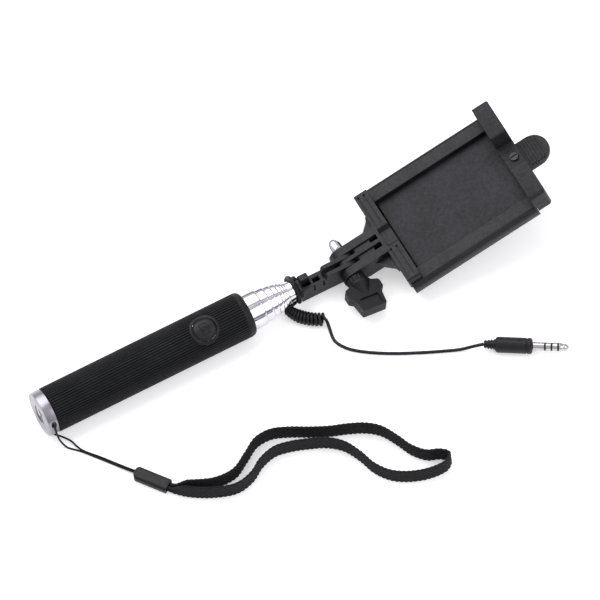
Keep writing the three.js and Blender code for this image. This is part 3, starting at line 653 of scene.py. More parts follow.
def strap_webbing():
    """The flat braided strap, standing on its edge, with both ends in the ferrule's mouth."""
    route = smooth_path([(x, y, TABLE) for x, y in WEB_ROUTE], 12)
    path = resampled(route, WEB["stitch"] / 5)
    levels = WEB["columns"] * 4
    section = []
    for side in (-1, 1):
        for level in range(levels + 1):
            share = level / levels
            section.append((side, share if side < 0 else 1 - share))
    vertices = []
    for index, place in enumerate(path):
        ahead = path[min(index + 1, len(path) - 1)] - path[max(index - 1, 0)]
        outward = ahead.normalized().cross(UP)
        along = index * WEB["stitch"] / 5
        low, high = tucked(place, path[0] if index < len(path) / 2 else path[-1])
        for side, share in section:
            edge = math.sqrt(max(0.0, 1 - abs(2 * share - 1) ** 8))
            half = (WEB["thick"] / 2 - WEB["relief"] / 2) * (0.35 + 0.65 * edge)
            reach = side * (half + braid_height(min(share, 0.9999), along + (0.4 if side > 0 else 0)))
            vertices.append(place + outward * reach + UP * (low + share * high))
    faces = grid_faces(len(path), len(section))
    last = (len(path) - 1) * len(section)
    faces += [tuple(range(len(section))), tuple(range(last, last + len(section)))]
    webbing = smooth(new_object("strap_webbing_braid", vertices, faces), 80)
    show(webbing, POLE, "handle", "webbing", NYLON, "strap_webbing")
    middle = [POLE @ (point + UP * (WEB["wide"] / 2)) for point in path]
    return webbing, middle


make_camera()
make_studio()
LEAD, LEAD_LENGTH = audio_lead()
STRAND, STRAND_LENGTH = strap_string()
WEBBING, WEBBING_PATH = strap_webbing()

# ---------------------------------------------------------------- grip and end cap

GRIP = {"start": 4.6, "end": 96, "radius": 9.75, "bore": 8.15, "ribs": 54, "rib_depth": 0.7}
RIB_STEPS = 10
BAND_START = 93.0


def rib_groove(angle, _x):
    """The groove between two ribs, as a share of its depth, with flat crests beside it."""
    wave = 0.5 + 0.5 * math.cos(GRIP["ribs"] * angle)
    return min(1.0, max(0.0, 2.1 * wave - 0.9))


def grip():
    radius, depth = GRIP["radius"], GRIP["rib_depth"]
    profile = [
        (GRIP["start"], GRIP["bore"]), (GRIP["start"], radius - 0.45),
        (GRIP["start"] + 0.15, radius - 0.15, depth * 0.6), (GRIP["start"] + 0.5, radius, depth),
        (BAND_START - 0.7, radius, depth), (BAND_START - 0.2, radius, depth * 0.5),
        (BAND_START, radius),
    ]
    fall, reach = 1.5, GRIP["end"] - BAND_START - 0.6
    steps = 8
    for step in range(steps + 1):
        angle = math.pi / 2 * step / steps
        x = BAND_START + 0.6 + reach * math.sin(angle)
        profile.append((x, radius - fall * (1 - math.cos(angle))))
    profile += [(GRIP["end"], GRIP["bore"]), profile[0]]
    sleeve = lathe("grip_sleeve", profile, ring_angles(GRIP["ribs"] * RIB_STEPS), rib_groove)
    hole = bar("hole", "z", BEZEL["outer"] + 0.05, 2, 14, sides=96)
    hole.data.transform(POLE.inverted() @ BUTTON)
    cut(sleeve, hole)
    show(smooth(sleeve, 50), POLE, "handle", "grip_rubber", RUBBER, "grip")


BEZEL = {"outer": 6.3, "bore": 5.05, "low": 8.3}
CAP = {"radius": 4.5, "flange": 4.98, "low": 9.15, "flange_high": 9.35}


def pole_surface(across, lift):
    """Height over the pole's axis of a surface that follows the grip, a little above it."""
    return math.sqrt(GRIP["radius"] ** 2 - across**2) + lift


def round_disc(name, profile, sides=96):
    """A turned piece about Z from (radius, height) points, bent over the grip's curve. Heights
    under 5 are measured from the grip's surface, and others from the pole's axis."""
    closed = profile[0] == profile[-1]
    rows = profile[:-1] if closed else profile
    vertices = []
    for radius, height in rows:
        for angle in ring_angles(sides):
            x, y = radius * math.cos(angle), radius * math.sin(angle)
            z = pole_surface(y, height) if height < 5 else height
            vertices.append((x, y, z))
    faces = grid_faces(len(rows), sides, closed_rows=closed)
    if not closed:
        last = (len(rows) - 1) * sides
        faces += [tuple(range(sides)), tuple(range(last, last + sides))]
    return new_object(name, vertices, faces)


def button_bezel():
    outer, bore, low = BEZEL["outer"], BEZEL["bore"], BEZEL["low"]
    profile = [
        (bore, low), (outer, low), (outer, 0.05), (outer - 0.12, 0.3), (outer - 0.4, 0.45),
        (bore + 0.45, 0.45), (bore + 0.15, 0.36), (bore, 0.15), (bore, low),
    ]
    ring = smooth(round_disc("button_ring", profile), 50)
    show(ring, BUTTON, "handle", "black_plastic", PLASTIC, "button_bezel")


def cap_lift(radius):
    """The cap's top over the grip's surface: a low dome."""
    return 0.30 + 0.38 * (1 - (radius / CAP["radius"]) ** 2)


def box_line(x, y, half_x, half_y, corner):
    """The distance to the outline of a rounded box about the origin."""
    out_x, out_y = abs(x) - half_x + corner, abs(y) - half_y + corner
    outside = math.hypot(max(out_x, 0.0), max(out_y, 0.0))
    return abs(outside + min(max(out_x, out_y), 0.0) - corner)


def icon_depth(x, y):
    """How deep the lines of a plain camera pictogram are sunk. Its top faces +X."""
    body, lens, hump = (1.45, 2.3), 0.85, 0.4
    distance = min(box_line(x, y, *body, 0.45), abs(math.hypot(x, y) - lens))
    if x > body[0]:
        distance = min(distance, box_line(x - body[0] - hump / 2, y, hump, 0.8, 0.1))
    return 0.22 * max(0.0, 1 - (distance / 0.27) ** 2)


def button_cap():
    """The cap, with a plain camera pictogram sunk in its top and a flange under its ring."""
    radius, low, sides, rings = CAP["radius"], CAP["low"], 144, 56
    edge = [(CAP["flange"], low), (CAP["flange"], CAP["flange_high"]), (radius, CAP["flange_high"])]
    edge += [(radius, cap_lift(radius) - 0.35), (radius * 0.99, cap_lift(radius) - 0.12)]
    vertices = []
    for ring_radius, height in edge:
        for angle in ring_angles(sides):
            x, y = ring_radius * math.cos(angle), ring_radius * math.sin(angle)
            vertices.append((x, y, pole_surface(y, height) if height < 5 else height))
    for ring in range(rings):
        ring_radius = radius * (0.96 - 0.94 * ring / (rings - 1))
        for angle in ring_angles(sides):
            x, y = ring_radius * math.cos(angle), ring_radius * math.sin(angle)
            vertices.append((x, y, pole_surface(y, cap_lift(ring_radius) - icon_depth(x, y))))
    rows = len(edge) + rings
    faces = grid_faces(rows, sides)
    faces += [tuple(range(sides)), tuple(range((rows - 1) * sides, rows * sides))]
    cap = smooth(new_object("button_top", vertices, faces), 50)
    show(cap, BUTTON, "button", "black_plastic", PLASTIC, "button_cap")


END = {"start": 0, "end": 4.3, "radius": 9.6, "bore": 4.1, "chamfer": 0.55}
SPIGOT = {"radius": 7.25, "end": 12}
CROSS_HOLE = {"x": 2.3, "radius": 1.15, "depth": 7.6, "angle": 109}
THREAD = {"outer": 3.95, "crest": 3.175, "root": 3.55, "start": 0.6, "end": 11.6, "pitch": 1.27}


def end_cap():
    start, end, radius, bore, chamfer = END.values()
    profile = [
        (SPIGOT["end"], bore), (SPIGOT["end"], SPIGOT["radius"]), (end, SPIGOT["radius"]),
        (end, radius - 0.15), (end - 0.15, radius), (start + chamfer, radius),
        (start + chamfer * 0.3, radius - chamfer * 0.3), (start, radius - chamfer),
        (start, bore + 0.35), (start + 0.35, bore), (SPIGOT["end"], bore),
    ]
    cap = lathe("end_cap_turned", profile, ring_angles(128))
    hole = bar("hole", "y", CROSS_HOLE["radius"], -14, 14, (CROSS_HOLE["x"], CROSS_HOLE["depth"]))
    hole.data.transform(Matrix.Rotation(math.radians(CROSS_HOLE["angle"]), 4, "X"))
    cut(cap, hole)
    show(soften(cap, 0.12, 2, 40), POLE, "handle", "satin_metal", TURNED_FACE, "end_cap")


def thread_wave(angle, x):
    """A screw thread's height at an angle and a place along it, from 0 at the root to 1."""
    turn = (x / THREAD["pitch"] + angle / (2 * math.pi)) % 1
    return min(1.0, 2.4 * abs(2 * turn - 1))


def tripod_insert():
    """The insert, cut with the standard camera thread."""
    start, end, crest, root = THREAD["start"], THREAD["end"], THREAD["crest"], THREAD["root"]
    profile = [(start, THREAD["outer"]), (end, THREAD["outer"]), (end, root)]
    rows = 80
    for row in range(rows + 1):
        x = end - 0.1 - (end - start - 0.5) * row / rows
        profile.append((x, root, root - crest))
    profile += [(start, root + 0.25), profile[0]]
    insert = lathe("thread_insert", profile, ring_angles(48), thread_wave)
    show(smooth(insert, 40), POLE, "handle", "steel", NICKEL, "tripod_insert")


# ---------------------------------------------------------------- tubes

TUBE = {"radius": 8.0, "step": 0.5, "wall": 0.35}
KEYWAY = {"half": 0.32, "depth": 0.28}


def tube_angles(radius):
    """Even angles, with a few more at the keyway's walls."""
    middle = math.atan2(PRESS.z, PRESS.y)
    half = KEYWAY["half"] / radius
    near = [middle + half * share for share in (-1.15, -1, -0.8, 0, 0.8, 1, 1.15)]
    even = [middle + half * 2 + (2 * math.pi - half * 4) * step / 90 for step in range(91)]
    return near + even


def keyway(radius):
    middle = math.atan2(PRESS.z, PRESS.y)

    def carve(angle, _x):
        return KEYWAY["depth"] if abs(angle - middle) <= KEYWAY["half"] / radius * 0.85 else 0.0

    return carve


def pole_tube(number):
    """One chrome section. Its keyway runs in line with the button, and its far end is rolled in."""
    node = f"tube_{number}"
    low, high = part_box(node)
    start, end = ((edge.x - POLE_START.x) / MM for edge in (low, high))
    radius = TUBE["radius"] - TUBE["step"] * (number - 1)
    inner = radius - TUBE["wall"]
    roll = 0.38
    profile = [(start, inner, 1), (start, radius, 1), (end - 1.4, radius, 1), (end - 0.9, radius - 0.03, 1)]
    for step in range(1, 7):
        angle = math.pi / 2 * step / 6
        profile.append((end - 0.75 * (1 - math.sin(angle)), radius - roll * (1 - math.cos(angle)) - 0.03, 1))
    profile += [(end - 0.1, inner - 0.04, 1), (end - 1.2, inner, 1), profile[0]]
    tube = lathe(f"pole_section_{number}", profile, tube_angles(radius), keyway(radius))
    body = "handle" if number == 1 else f"section_{number}" if number < 8 else "head"
    show(smooth(tube, 40), POLE, body, "chrome", CHROME, node)


# ---------------------------------------------------------------- head

HEAD = {"base": 118.5, "disc": 120.4, "rim": 5.2, "spigot": 3.75, "start": 106.0, "cordway": 2.9}
STEM = {"half": 2.9, "low": -7.3, "high": -0.2, "slot": 1.1, "floor": -5.4}
FORK = {"start": 131.5, "tip": 5.0, "hole": 2.2}


def tip_arc(x, z, radius, first, last, steps=14):
    """The round end of a finger about the hinge, between two angles in degrees."""
    points = []
    for step in range(steps + 1):
        angle = math.radians(first + (last - first) * step / steps)
        points.append((x + radius * math.cos(angle), z + radius * math.sin(angle)))
    return points


def head():
    half, low, high, slot, floor = STEM.values()
    base = lathe(
        "pole_head",
        [
            (HEAD["start"], 0), (HEAD["start"], HEAD["spigot"]), (HEAD["base"], HEAD["spigot"]),
            (HEAD["base"], HEAD["rim"] - 0.4), (HEAD["base"] + 0.4, HEAD["rim"]),
            (HEAD["disc"] - 0.4, HEAD["rim"]), (HEAD["disc"], HEAD["rim"] - 0.4),
            (HEAD["disc"], 0),
        ],
    )
    stem = block("stem", (HEAD["disc"] - 0.5, FORK["start"] + 2), (-half, half), (low, high))
    top = HINGE_Z + FORK["tip"]
    shape = [(FORK["start"], low), *tip_arc(HINGE_X, HINGE_Z, FORK["tip"], -90, 90)]
    shape += rounded([(HINGE_X, top), (FORK["start"], top, 1.8), (FORK["start"], high - 1)])[1:]
    fork = prism("fork", "y", shape, -half, half)
    solid = join(base, stem, fork)
    cutters = []
    for bay in ((121.8, 125.4), (126.4, 129.6)):
        cutters.append(block("bay", bay, (-slot, slot), (floor, 5)))
    cutters.append(block("fork_slot", (130.8, 150), (-slot, slot), (-12, 6)))
    for x in (125.9, 130.2):
        cutters.append(block("notch", (x - 0.35, x + 0.35), (-5, -half + 0.7), (-3, 5)))
    cutters.append(block("cord_notch", (HEAD["base"] - 0.3, HEAD["disc"] + 0.2), (0.55, 3.2), (0.9, 7)))
    cutters.append(bar("hinge_hole", "y", FORK["hole"], -5, 5, (HINGE_X, HINGE_Z)))
    cutters.append(bar("cord_way", "x", HEAD["cordway"], HEAD["start"] - 1, 112))
    cut(solid, *cutters)
    show(soften(solid, 0.22), POLE, "head", "black_plastic", PLASTIC, "head")


def cable_gland():
    x, y, z = (120.9, 125.2), (0.25, 2.9), (-0.1, 3.5)
    shape = rounded([(x[0], z[0]), (x[1], z[0]), (x[1], z[1], 0.7), (x[0], z[1], 0.9)])
    gland = prism("lead_gland", "y", shape, *y)
    cut(gland, bar("bore", "x", CORD / 2 + 0.1, 119, 124, (GLAND_MOUTH[1], GLAND_MOUTH[2]), 24))
    show(soften(gland, 0.25), POLE, "head", "black_plastic", PLASTIC, "cable_gland")


# ---------------------------------------------------------------- hinge screw, nut and knob

HINGE = axes(HINGE_AT, Vector((1, 0, 0)), ACROSS)
KNOB = {"start": -7.1, "neck": 4.3, "wing": 7.9, "fin": 5.35, "end": -24, "half": 2.4, "tilt": 9}
KNOB_TEETH = {"count": 18, "depth": 0.13}


def wing_knob():
    """A splined neck, two ears, and a flat fin whose two faces are sunk inside a rim."""
    wing, fin, end, half = KNOB["wing"], KNOB["fin"], KNOB["end"], KNOB["half"]
    right = [(3.9, -9.4), (4.9, -10.9, 0.8), (wing, -12.0, 1.2), (wing, -16.2, 1.4), (6.2, -17.2, 1.0)]
    right.append((fin, end, 0.8))
    left = [(-x, y, *radius) for x, y, *radius in reversed(right)]
    ears = prism("thumb_knob", "z", rounded(right + left), -half, half)
    shoulder = lathe(
        "shoulder",
        [(-9.4, 0), (-9.4, 4.4), (-9.9, 4.75), (-10.9, 4.75), (-11.7, 4.3), (-17.4, half - 0.2), (-17.4, 0)],
        ring_angles(48),
    )
    splines = []
    for angle in ring_angles(KNOB_TEETH["count"] * 8):
        radius = KNOB["neck"] - KNOB_TEETH["depth"] * (1 - math.cos(KNOB_TEETH["count"] * angle))
        splines.append((radius * math.cos(angle), radius * math.sin(angle)))
    neck = prism("neck", "y", splines, -10.8, KNOB["start"])
    shoulder.data.transform(Matrix.Rotation(math.radians(90), 4, "Z"))
    knob = join(ears, shoulder, neck)
    rim, top = 1.1, -17.9
    sunk = [(rim - fin, end + rim), (fin - rim, end + rim), (fin - rim, top), (rim - fin, top)]
    sunk = rounded([(x, y, 0.5) for x, y in sunk])
    faces = [prism("sunk", "z", sunk, *level) for level in ((half - 0.8, 9), (-9, 0.8 - half))]
    bore = bar("bore", "y", 2.05, -14.3, -6)
    cut(knob, *faces, bore)
    soften(knob, 0.28, 3, 25)
    knob.data.transform(Matrix.Rotation(math.radians(KNOB["tilt"]), 4, "Y"))
    # The knob takes the darker plastic copy, whose extra darkness is painted shade.
    show(knob, HINGE, "thumb_screw", "black_plastic", SHADE_DARKENED_PLASTIC, "wing_knob")


def hinge_screw():
    """The cross screw, with its thread where the nut takes it."""
    radius, low, high, pitch = 1.95, -14.0, 10.2, 0.7
    rows = 120
    profile = [(low, 0), (low, radius)]
    for row in range(rows + 1):
        profile.append((6.5 + (high - 6.9) * row / rows, radius, 0.18))
    profile += [(high, radius - 0.3), (high, 0)]

    def carve(angle, x):
        return abs(2 * ((x / pitch + angle / (2 * math.pi)) % 1) - 1)

    screw = lathe("cross_screw", profile, ring_angles(32), carve)
    screw.data.transform(Matrix.Rotation(math.radians(90), 4, "Z"))
    show(smooth(screw, 50), HINGE, "thumb_screw", "steel", NICKEL, "hinge_screw")


def acorn_nut():
    """A domed cap nut with six flats at its foot."""
    start, seat, end, radius, bore = 7.1, 10.4, 14.7, 3.0, 2.05
    profile = [(start, bore), (start, radius - 0.15), (start + 0.15, radius), (seat, radius)]
    steps = 12
    for step in range(1, steps):
        angle = math.pi / 2 * step / steps
        profile.append((seat + (end - seat) * math.sin(angle), radius * math.cos(angle)))
    profile += [(end, 0.05), (10.7, 0.05), (10.7, bore), (start, bore)]
    nut = lathe("dome_nut", profile, ring_angles(64))
    nut.data.transform(Matrix.Rotation(math.radians(90), 4, "Z"))
    show(smooth(nut, 50), HINGE, "clamp", "chrome", CHROME, "acorn_nut")


# ---------------------------------------------------------------- clamp

JAW_LOW = {"start": 17.3, "end": 23.4, "half": 23.6, "bottom": -2, "lobe": 4.6, "dip": 2.4}
FLARE_TOP = 1.6
CLEVIS = {"middle": 0.85, "inner": 3.2, "outer": 6.8, "root": 5.9, "tip": 5.0, "top": 4.8}
HOUSING = {"start": 18, "end": 78, "half": 25.7, "front": 0.9, "back": -9.5, "corner": 7, "lip": 18.1}
CHANNEL = {"under": -1.6, "half": 20.8, "low": -3.85, "springs": 17.5, "floor": -8.3}
PLATE = {"start": 24.2, "end": 78.2, "half": 20.4, "front": -1.9, "back": -3.6, "tongue": 12.5}
TAB = {"half": 7.0, "tip": 96.4, "ribs": 6, "pitch": 1.35, "rib": 0.62, "rise": 0.7}
JAW_HIGH = {"start": 77.2, "end": 84.6, "half": 25.4, "bottom": -1.88, "lobe": 10, "dip": 1.8}
JAW_SCREW_X = 81.5
BRIDGE = {"start": 66, "end": 68.5}
CARRIER = {"start": 72, "end": 75.5, "half": 13, "back": -7.9}
ROD = {"y": 10, "z": -5.95, "radius": 1, "start": 25.4, "head": 27, "end": 75}
SPRING = {"start": 27.2, "end": 65.8, "coil": 1.6, "wire": 0.3, "turns": 19}


def mirrored(points):
    """An outline from its +Y half, given from bottom to top, or from left to right."""
    return points + [(-a, b, *radius) for a, b, *radius in reversed(points)]


def jaw_front(jaw, lobe_inner, corner):
    """A jaw seen along the slide: two lobes with a dip between them."""
    half, lobe = jaw["half"], jaw["lobe"]
    right = [
        (half, jaw["bottom"]), (half, lobe, corner), (lobe_inner, lobe, 0.8),
        (lobe_inner - 1.2, jaw["dip"], 0.4),
    ]
    return rounded(mirrored(right))


def clamp_base():
    """The lower jaw, its knuckle and the knuckle's three fingers."""
    start, end, half, bottom, lobe, _ = JAW_LOW.values()
    middle, inner, outer, root, tip, top = CLEVIS.values()
    right = [
        (root, outer), (11.0, outer, 3.0), (start - 0.8, 12.4, 3.4), (start - 0.5, 14.0),
        (start, 14.0), (start, half, 1.0), (end, half, 0.3),
    ]
    plan = rounded(right + [(x, -y, *radius) for x, y, *radius in reversed(right)], 8)
    plate = prism("fixed_jaw", "z", plan, bottom, lobe)
    jaw = common(plate, prism("front", "x", jaw_front(JAW_LOW, 4.6, 1.0), start - 12, end))
    knuckle = block("knuckle", (root, start + 1), (-outer, outer), (-tip, top))
    seat = block("seat", (HOUSING["start"] - 0.4, end + 1), (-half - 1, half + 1), (-12, bottom - 0.01))
    cut(knuckle, seat)
    finger = [(root + 0.5, -top), (root + 0.5, top), *tip_arc(0, 0, top, 90, 270)]
    spans = ((-outer, -inner), (-middle, middle), (inner, outer))
    fingers = [prism("finger", "y", finger, *span) for span in spans]
    join(jaw, knuckle, *fingers)
    cutters = [block("window", (13.2, 16.8), (y - 1, y + 1), (-3.2, 8)) for y in (-2, 2)]
    for low, high in ((middle, inner), (-inner, -middle)):
        cutters.append(block("channel", (root - 1, 16.8), (low, high), (top - 0.9, 9)))
    for low, high in ((outer, half + 1), (-half - 1, -outer)):
        cutters.append(block("flare_top", (root, start), (low, high), (FLARE_TOP, 9)))
    for x in (start + 1.5, start + 4.1):
        for side in (-1, 1):
            span = sorted((side * 6.2, side * (half - 1.6)))
            cutters.append(block("groove", (x - 0.35, x + 0.35), span, (lobe - 0.9, 9)))
    cutters.append(bar("hinge_hole", "y", FORK["hole"], -9, 9))
    cut(jaw, *cutters)
    show(soften(jaw, 0.25), CLAMP, "clamp", "black_plastic", PLASTIC, "clamp_base")


def housing_section():
    """The housing seen along the slide: a C that wraps round the channel of the sliding plate."""
    _, _, half, front, back, corner, lip = HOUSING.values()
    channel, springs, floor = CHANNEL["half"], CHANNEL["springs"], CHANNEL["floor"]
    right = [
        (springs, floor), (springs, CHANNEL["low"]), (channel, CHANNEL["low"]),
        (channel, CHANNEL["under"]), (lip, CHANNEL["under"]), (lip, front, 0.35),
        (half, front, 2.4), (half, back, corner),
    ]
    return rounded(right + [(-y, z, *radius) for y, z, *radius in reversed(right)], 8)


def clamp_housing():
    start, end, half = HOUSING["start"], HOUSING["end"], HOUSING["half"]
    shell = prism("clamp_shell", "x", housing_section(), start, end)
    bridge = block(
        "bridge",
        (BRIDGE["start"], BRIDGE["end"]), (-CHANNEL["springs"] - 1, CHANNEL["springs"] + 1),
        (CHANNEL["floor"] - 0.5, PLATE["back"] - 0.3),
    )
    join(shell, bridge)
    bottom, seat = JAW_LOW["bottom"], JAW_LOW["half"] + 0.15
    cutters = [
        block("jaw_seat", (start - 1, JAW_LOW["end"] + 0.1), (-seat, seat), (bottom - 0.1, 4)),
        block("knuckle_seat", (start - 1, start + 0.4), (-7, 7), (-12, bottom)),
    ]
    for side in (-1, 1):
        at = (side * ROD["y"], ROD["z"])
        cutters.append(bar("rod_hole", "x", ROD["radius"] + 0.15, BRIDGE["start"] - 1, BRIDGE["end"] + 1, at))
    line = (half - 1.9, half - 1.55)
    cutters.append(block("rail_line", (JAW_LOW["end"] + 1, end + 1), line, (HOUSING["front"] - 0.35, 4)))
    cut(shell, *cutters)
    show(soften(shell, 0.15), CLAMP, "clamp", "black_plastic", PLASTIC, "clamp_housing")


def slide_plate():
    """The sliding plate, its ribbed thumb tab and the carrier that the rods screw into."""
    start, end, half, front, back, tongue = PLATE.values()
    sheet = block("sliding_plate", (start, end), (-half, half), (back, front))
    shoulder = JAW_HIGH["end"] - 0.3
    right = [(end - 1, tongue), (shoulder, tongue, 0.8), (shoulder, TAB["half"])]
    outline = rounded([(x, -y, *radius) for x, y, *radius in right])
    outline += tip_arc(TAB["tip"] - TAB["half"], 0, TAB["half"], -90, 90, 20)
    outline += rounded(right[::-1])
    tab = prism("tab", "z", outline, back, front)
    carrier = block(
        "carrier",
        (CARRIER["start"], CARRIER["end"]), (-CARRIER["half"], CARRIER["half"]),
        (CARRIER["back"], back + 0.5),
    )
    ribs = []
    for index in range(TAB["ribs"]):
        x = JAW_HIGH["end"] + 1.6 + index * TAB["pitch"]
        reach = TAB["half"] - 1.4
        ribs.append(block("rib", (x, x + TAB["rib"]), (-reach, reach), (front - 0.2, front + TAB["rise"])))
    join(sheet, tab, carrier, *ribs)
    cut(
        sheet,
        *(
            bar("rod_hole", "x", ROD["radius"] + 0.1, CARRIER["start"] - 1, CARRIER["end"] + 1, (y, ROD["z"]))
            for y in (-ROD["y"], ROD["y"])
        ),
    )
    show(soften(sheet, 0.15), CLAMP, "sliding_jaw", "black_plastic", PANEL, "slide_plate")


def upper_jaw():
    start, end, half, bottom, lobe, _ = JAW_HIGH.values()
    jaw = prism("moving_jaw", "x", jaw_front(JAW_HIGH, 8.2, 1.7), start, end)
    plan = rounded([(start, -half, 0.3), (end, -half, 1.6), (end, half, 1.6), (start, half, 0.3)])
    common(jaw, prism("plan", "z", plan, bottom - 1, lobe + 1))
    over = (bottom - 2, HOUSING["front"] + 0.15)
    cutters = [bar("screw_hole", "z", 1.35, -4, 4, (JAW_SCREW_X, 0))]
    cutters.append(block("over_rails", (start - 1, HOUSING["end"] + 0.12), (-half - 1, half + 1), over))
    for side in (-1, 1):
        span = sorted((side * 9.4, side * 23.8))
        cutters.append(block("pad_seat", (start - 1, start + 1.2), span, (3.2, lobe - 1.7)))
    cut(jaw, *cutters)
    show(soften(jaw, 0.4, 3), CLAMP, "sliding_jaw", "black_plastic", SPARKED, "upper_jaw")


def jaw_pad(side, name):
    """A ribbed rubber pad in the face of one lobe."""
    start, low, high = JAW_HIGH["start"], 3.4, JAW_HIGH["lobe"] - 1.9
    span = sorted((side * 9.6, side * 23.6))
    pad = block(f"gripping_pad_{name}", (start - 0.1, start + 1.0), span, (low, high))
    ribs = 4
    cuts = []
    for index in range(1, ribs):
        z = low + (high - low) * index / ribs
        across = (span[0] + 0.6, span[1] - 0.6)
        cuts.append(block("groove", (start - 1, start + 0.15), across, (z - 0.2, z + 0.2)))
    cut(pad, *cuts)
    show(soften(pad, 0.12), CLAMP, "sliding_jaw", "pad_rubber", PAD_RUBBER, f"jaw_pad_{name}")


def jaw_screw():
    x, low = JAW_SCREW_X, JAW_HIGH["dip"] + 0.1
    shank = bar("jaw_screw_slotted", "z", 1.15, PLATE["front"] + 0.2, low + 0.3, (x, 0), 24)
    join(shank, bar("screw_head", "z", 1.9, low, low + 0.8, (x, 0), 32))
    cut(shank, block("driver_slot", (x - 1.4, x + 1.4), (-0.28, 0.28), (low + 0.35, low + 2)))
    show(soften(shank, 0.15), CLAMP, "sliding_jaw", "steel", BLACK_STEEL, "jaw_screw")


def guide_rod(side, name):
    at = (side * ROD["y"], ROD["z"])
    rod = bar(f"rod_{name}", "x", ROD["radius"], ROD["start"], ROD["end"], at, 24)
    join(rod, bar("rod_head", "x", 1.95, ROD["start"], ROD["head"], at, 32))
    show(soften(rod, 0.2), CLAMP, "sliding_jaw", "steel", NICKEL, f"guide_rod_{name}")


def return_spring(side, name):
    """A wire spring, which the jaw squeezes against the bridge as it is pulled out."""
    ends = [(x, side * ROD["y"], ROD["z"]) for x in (SPRING["start"] + 0.3, SPRING["end"] - 0.3)]
    path = helix(*ends, SPRING["coil"], SPRING["turns"], steps=16)
    spring = smooth(tube_along(f"coil_spring_{name}", path, SPRING["wire"]), 60)
    show(spring, CLAMP, "clamp", "steel", NICKEL, f"return_spring_{name}")
    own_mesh(spring)


# ---------------------------------------------------------------- plug and ferrule

PLUG_BOOT = {"length": 4.5, "radius": 2.25}
PLUG_BODY = {"start": 4.6, "end": 19.8, "radius": 3.3}
PLUG_START, PLUG_END = (174.0, -58.6), (203.6, -77.9)
JACK = {"radius": 1.75, "start": 19.8, "core": 1.15}


def laid_frame(start, end, height):
    """The frame in millimetres of a piece that lies along a line at a height over the table."""
    start, end = ((*point, TABLE + height) for point in (start, end))
    start, end = POLE @ Vector(start), POLE @ Vector(end)
    along = (end - start).normalized()
    return axes(start, along, UP.cross(along))


PLUG = laid_frame(PLUG_START, PLUG_END, PLUG_BODY["radius"])


def plug_boot():
    """The strain relief: a taper with rings cut round it."""
    radius, length, rings = PLUG_BOOT["radius"], PLUG_BOOT["length"], 3
    profile = [(-0.05, 0), (-0.05, radius - 0.9), (0.25, radius - 0.7)]
    for ring in range(rings):
        x = 0.9 + ring * 1.2
        r = radius - 0.6 + 0.6 * x / length
        profile += [(x, r), (x + 0.12, r - 0.35), (x + 0.48, r - 0.32), (x + 0.6, r + 0.05)]
    profile += [(length, radius), (length, 0)]
    boot = smooth(lathe("plug_relief", profile, ring_angles(40)), 35)
    return show(boot, PLUG, "head", "black_plastic", PLASTIC, "plug_boot")


def plug_body():
    """The plug's round grip, with a small sunk dot and a ring cut near its front."""
    start, end, radius = PLUG_BODY["start"], PLUG_BODY["end"], PLUG_BODY["radius"]
    profile = [
        (start, 0), (start, radius - 0.9), (start + 0.3, radius - 0.35), (start + 0.9, radius),
        (end - 2.6, radius), (end - 2.4, radius - 0.25), (end - 2.1, radius - 0.25),
        (end - 1.9, radius), (end - 0.6, radius), (end - 0.1, radius - 0.5), (end, radius - 0.9),
        (end, 0),
    ]
    body = lathe("plug_grip", profile, ring_angles(64))
    cut(body, bar("dot", "z", 0.7, radius - 0.3, radius + 1, (end - 5.4, 0), 24))
    cut(body, bar("jack_way", "x", JACK["core"] + 0.1, start + 8, end + 1, (0, 0), 32))
    return show(smooth(body, 30), PLUG, "head", "black_plastic", PLASTIC, "plug_body")


def jack_part(name, node, profile, finish, slot):
    start = JACK["start"]
    part = lathe(name, [(start + x, radius) for x, radius in profile], ring_angles(48))
    return show(smooth(part, 35), PLUG, "head", slot, finish, node)


def jack():
    """The four-pole jack: sleeve, two rings and tip, on a dark core whose collars part them."""
    radius, core = JACK["radius"], JACK["core"]
    pieces = []
    for node, low, high in (("jack_sleeve", 0.3, 4.9), ("jack_ring_2", 5.5, 7.6), ("jack_ring_1", 8.2, 10.3)):
        profile = [
            (low, core + 0.1), (low, radius - 0.1), (low + 0.1, radius), (high - 0.1, radius),
            (high, radius - 0.1), (high, core + 0.1), (low, core + 0.1),
        ]
        pieces.append(jack_part(f"{node}_contact", node, profile, NICKEL, "steel"))
    tip = [
        (10.9, core + 0.1), (10.9, radius - 0.1), (11.0, radius), (12.0, radius),
        (12.5, radius - 0.35), (12.8, radius - 0.45), (13.1, radius - 0.35), (13.4, radius - 0.15),
        (13.8, radius - 0.3), (14.7, 0.75), (14.9, 0.45), (15.0, 0.1), (11.8, 0.1),
        (11.8, core + 0.1), (10.9, core + 0.1),
    ]
    pieces.append(jack_part("jack_tip_contact", "jack_tip", tip, NICKEL, "steel"))
    insulator = [(-11.5, 0), (-11.5, core)]
    for low, high in ((4.95, 5.45), (7.65, 8.15), (10.35, 10.85)):
        insulator += [(low, core), (low, radius - 0.03), (high, radius - 0.03), (high, core)]
    insulator += [(11.6, core), (11.6, 0)]
    pieces.append(jack_part("jack_insulator", "jack_core", insulator, PLASTIC, "black_plastic"))
    return pieces


FERRULE = {"start": (22.6, -39.3), "end": (31.4, -52.0), "wide": 6.2, "high": 3.4}


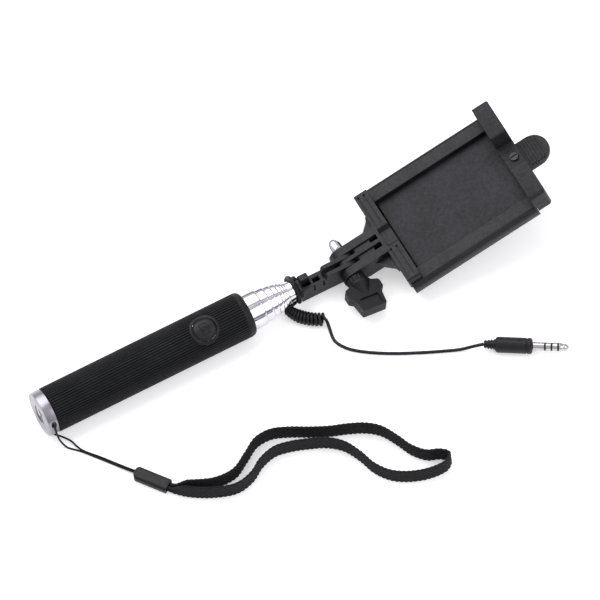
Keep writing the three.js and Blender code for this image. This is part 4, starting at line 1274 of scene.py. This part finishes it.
def ferrule():
    """The crimped sleeve that joins the string to the webbing: flat, with one round end."""
    start, end = Vector(FERRULE["start"]), Vector(FERRULE["end"])
    length, half, high = (end - start).length, FERRULE["wide"] / 2, FERRULE["high"]
    outline = rounded([(0, -half, 2.4), (length, -half, 0.3), (length, half, 0.3), (0, half, 2.4)], 8)
    sleeve = prism("strap_sleeve", "z", outline, 0.02, high)
    section = rounded([(-half, 0, 1.1), (half, 0, 1.1), (half, high, 1.5), (-half, high, 1.5)], 8)
    common(sleeve, prism("section", "x", section, -1, length + 1))
    reach, low = half - 0.6, 0.35
    mouth = [(-reach, low, 0.4), (reach, low, 0.4), (reach, high - low, 0.6), (-reach, high - low, 0.6)]
    mouth = rounded(mouth)
    cut(sleeve, prism("mouth", "x", mouth, length - 2, length + 1))
    place = laid_frame(start, end, 0)
    show(soften(sleeve, 0.2), place, "handle", "black_plastic", PLASTIC, "strap_ferrule")
    return sleeve


# ---------------------------------------------------------------- parts inside


def inner_cord():
    """The stretching cord inside the tubes, wound as a tight coil."""
    low, high = (((edge.x - POLE_START.x) / MM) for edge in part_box("inner_cord"))
    wire = 0.65
    turns = int((high - low) / (2 * wire + 0.15))
    path = helix((low + wire, 0, 0), (high - wire, 0, 0), 2.6 - wire, turns, steps=12)
    coil = smooth(tube_along("button_cord_coil", path, wire, 8), 60)
    show(coil, POLE, "head", "cord", CORD_SKIN, "inner_cord")


def switch():
    board = frame["nodes"]["switch_board"]
    board.data.materials.clear()
    board.data.materials.append(BOARD)
    low = 8.25
    profile = [(low, 0), (low, 2.2), (low + 0.1, 2.2), (low + 0.3, 1.5), (low + 0.4, 0.7), (low + 0.4, 0)]
    dome = lathe("snap_dome", profile, ring_angles(48))
    dome.data.transform(Matrix.Rotation(math.radians(-90), 4, "Y"))
    show(smooth(dome, 50), BUTTON, "handle", "steel", NICKEL, "switch_dome")


# ---------------------------------------------------------------- the whole object

grip()
button_bezel()
button_cap()
end_cap()
tripod_insert()
for tube_number in range(1, 9):
    pole_tube(tube_number)
head()
cable_gland()
wing_knob()
hinge_screw()
acorn_nut()
clamp_base()
clamp_housing()
slide_plate()
upper_jaw()
jaw_screw()
for jaw_side, jaw_name in ((-1, "near"), (1, "far")):
    jaw_pad(jaw_side, jaw_name)
    guide_rod(jaw_side, jaw_name)
    return_spring(jaw_side, jaw_name)
inner_cord()
switch()
PLUG_PIECES = [plug_boot(), plug_body(), *jack()]
SLEEVE = ferrule()
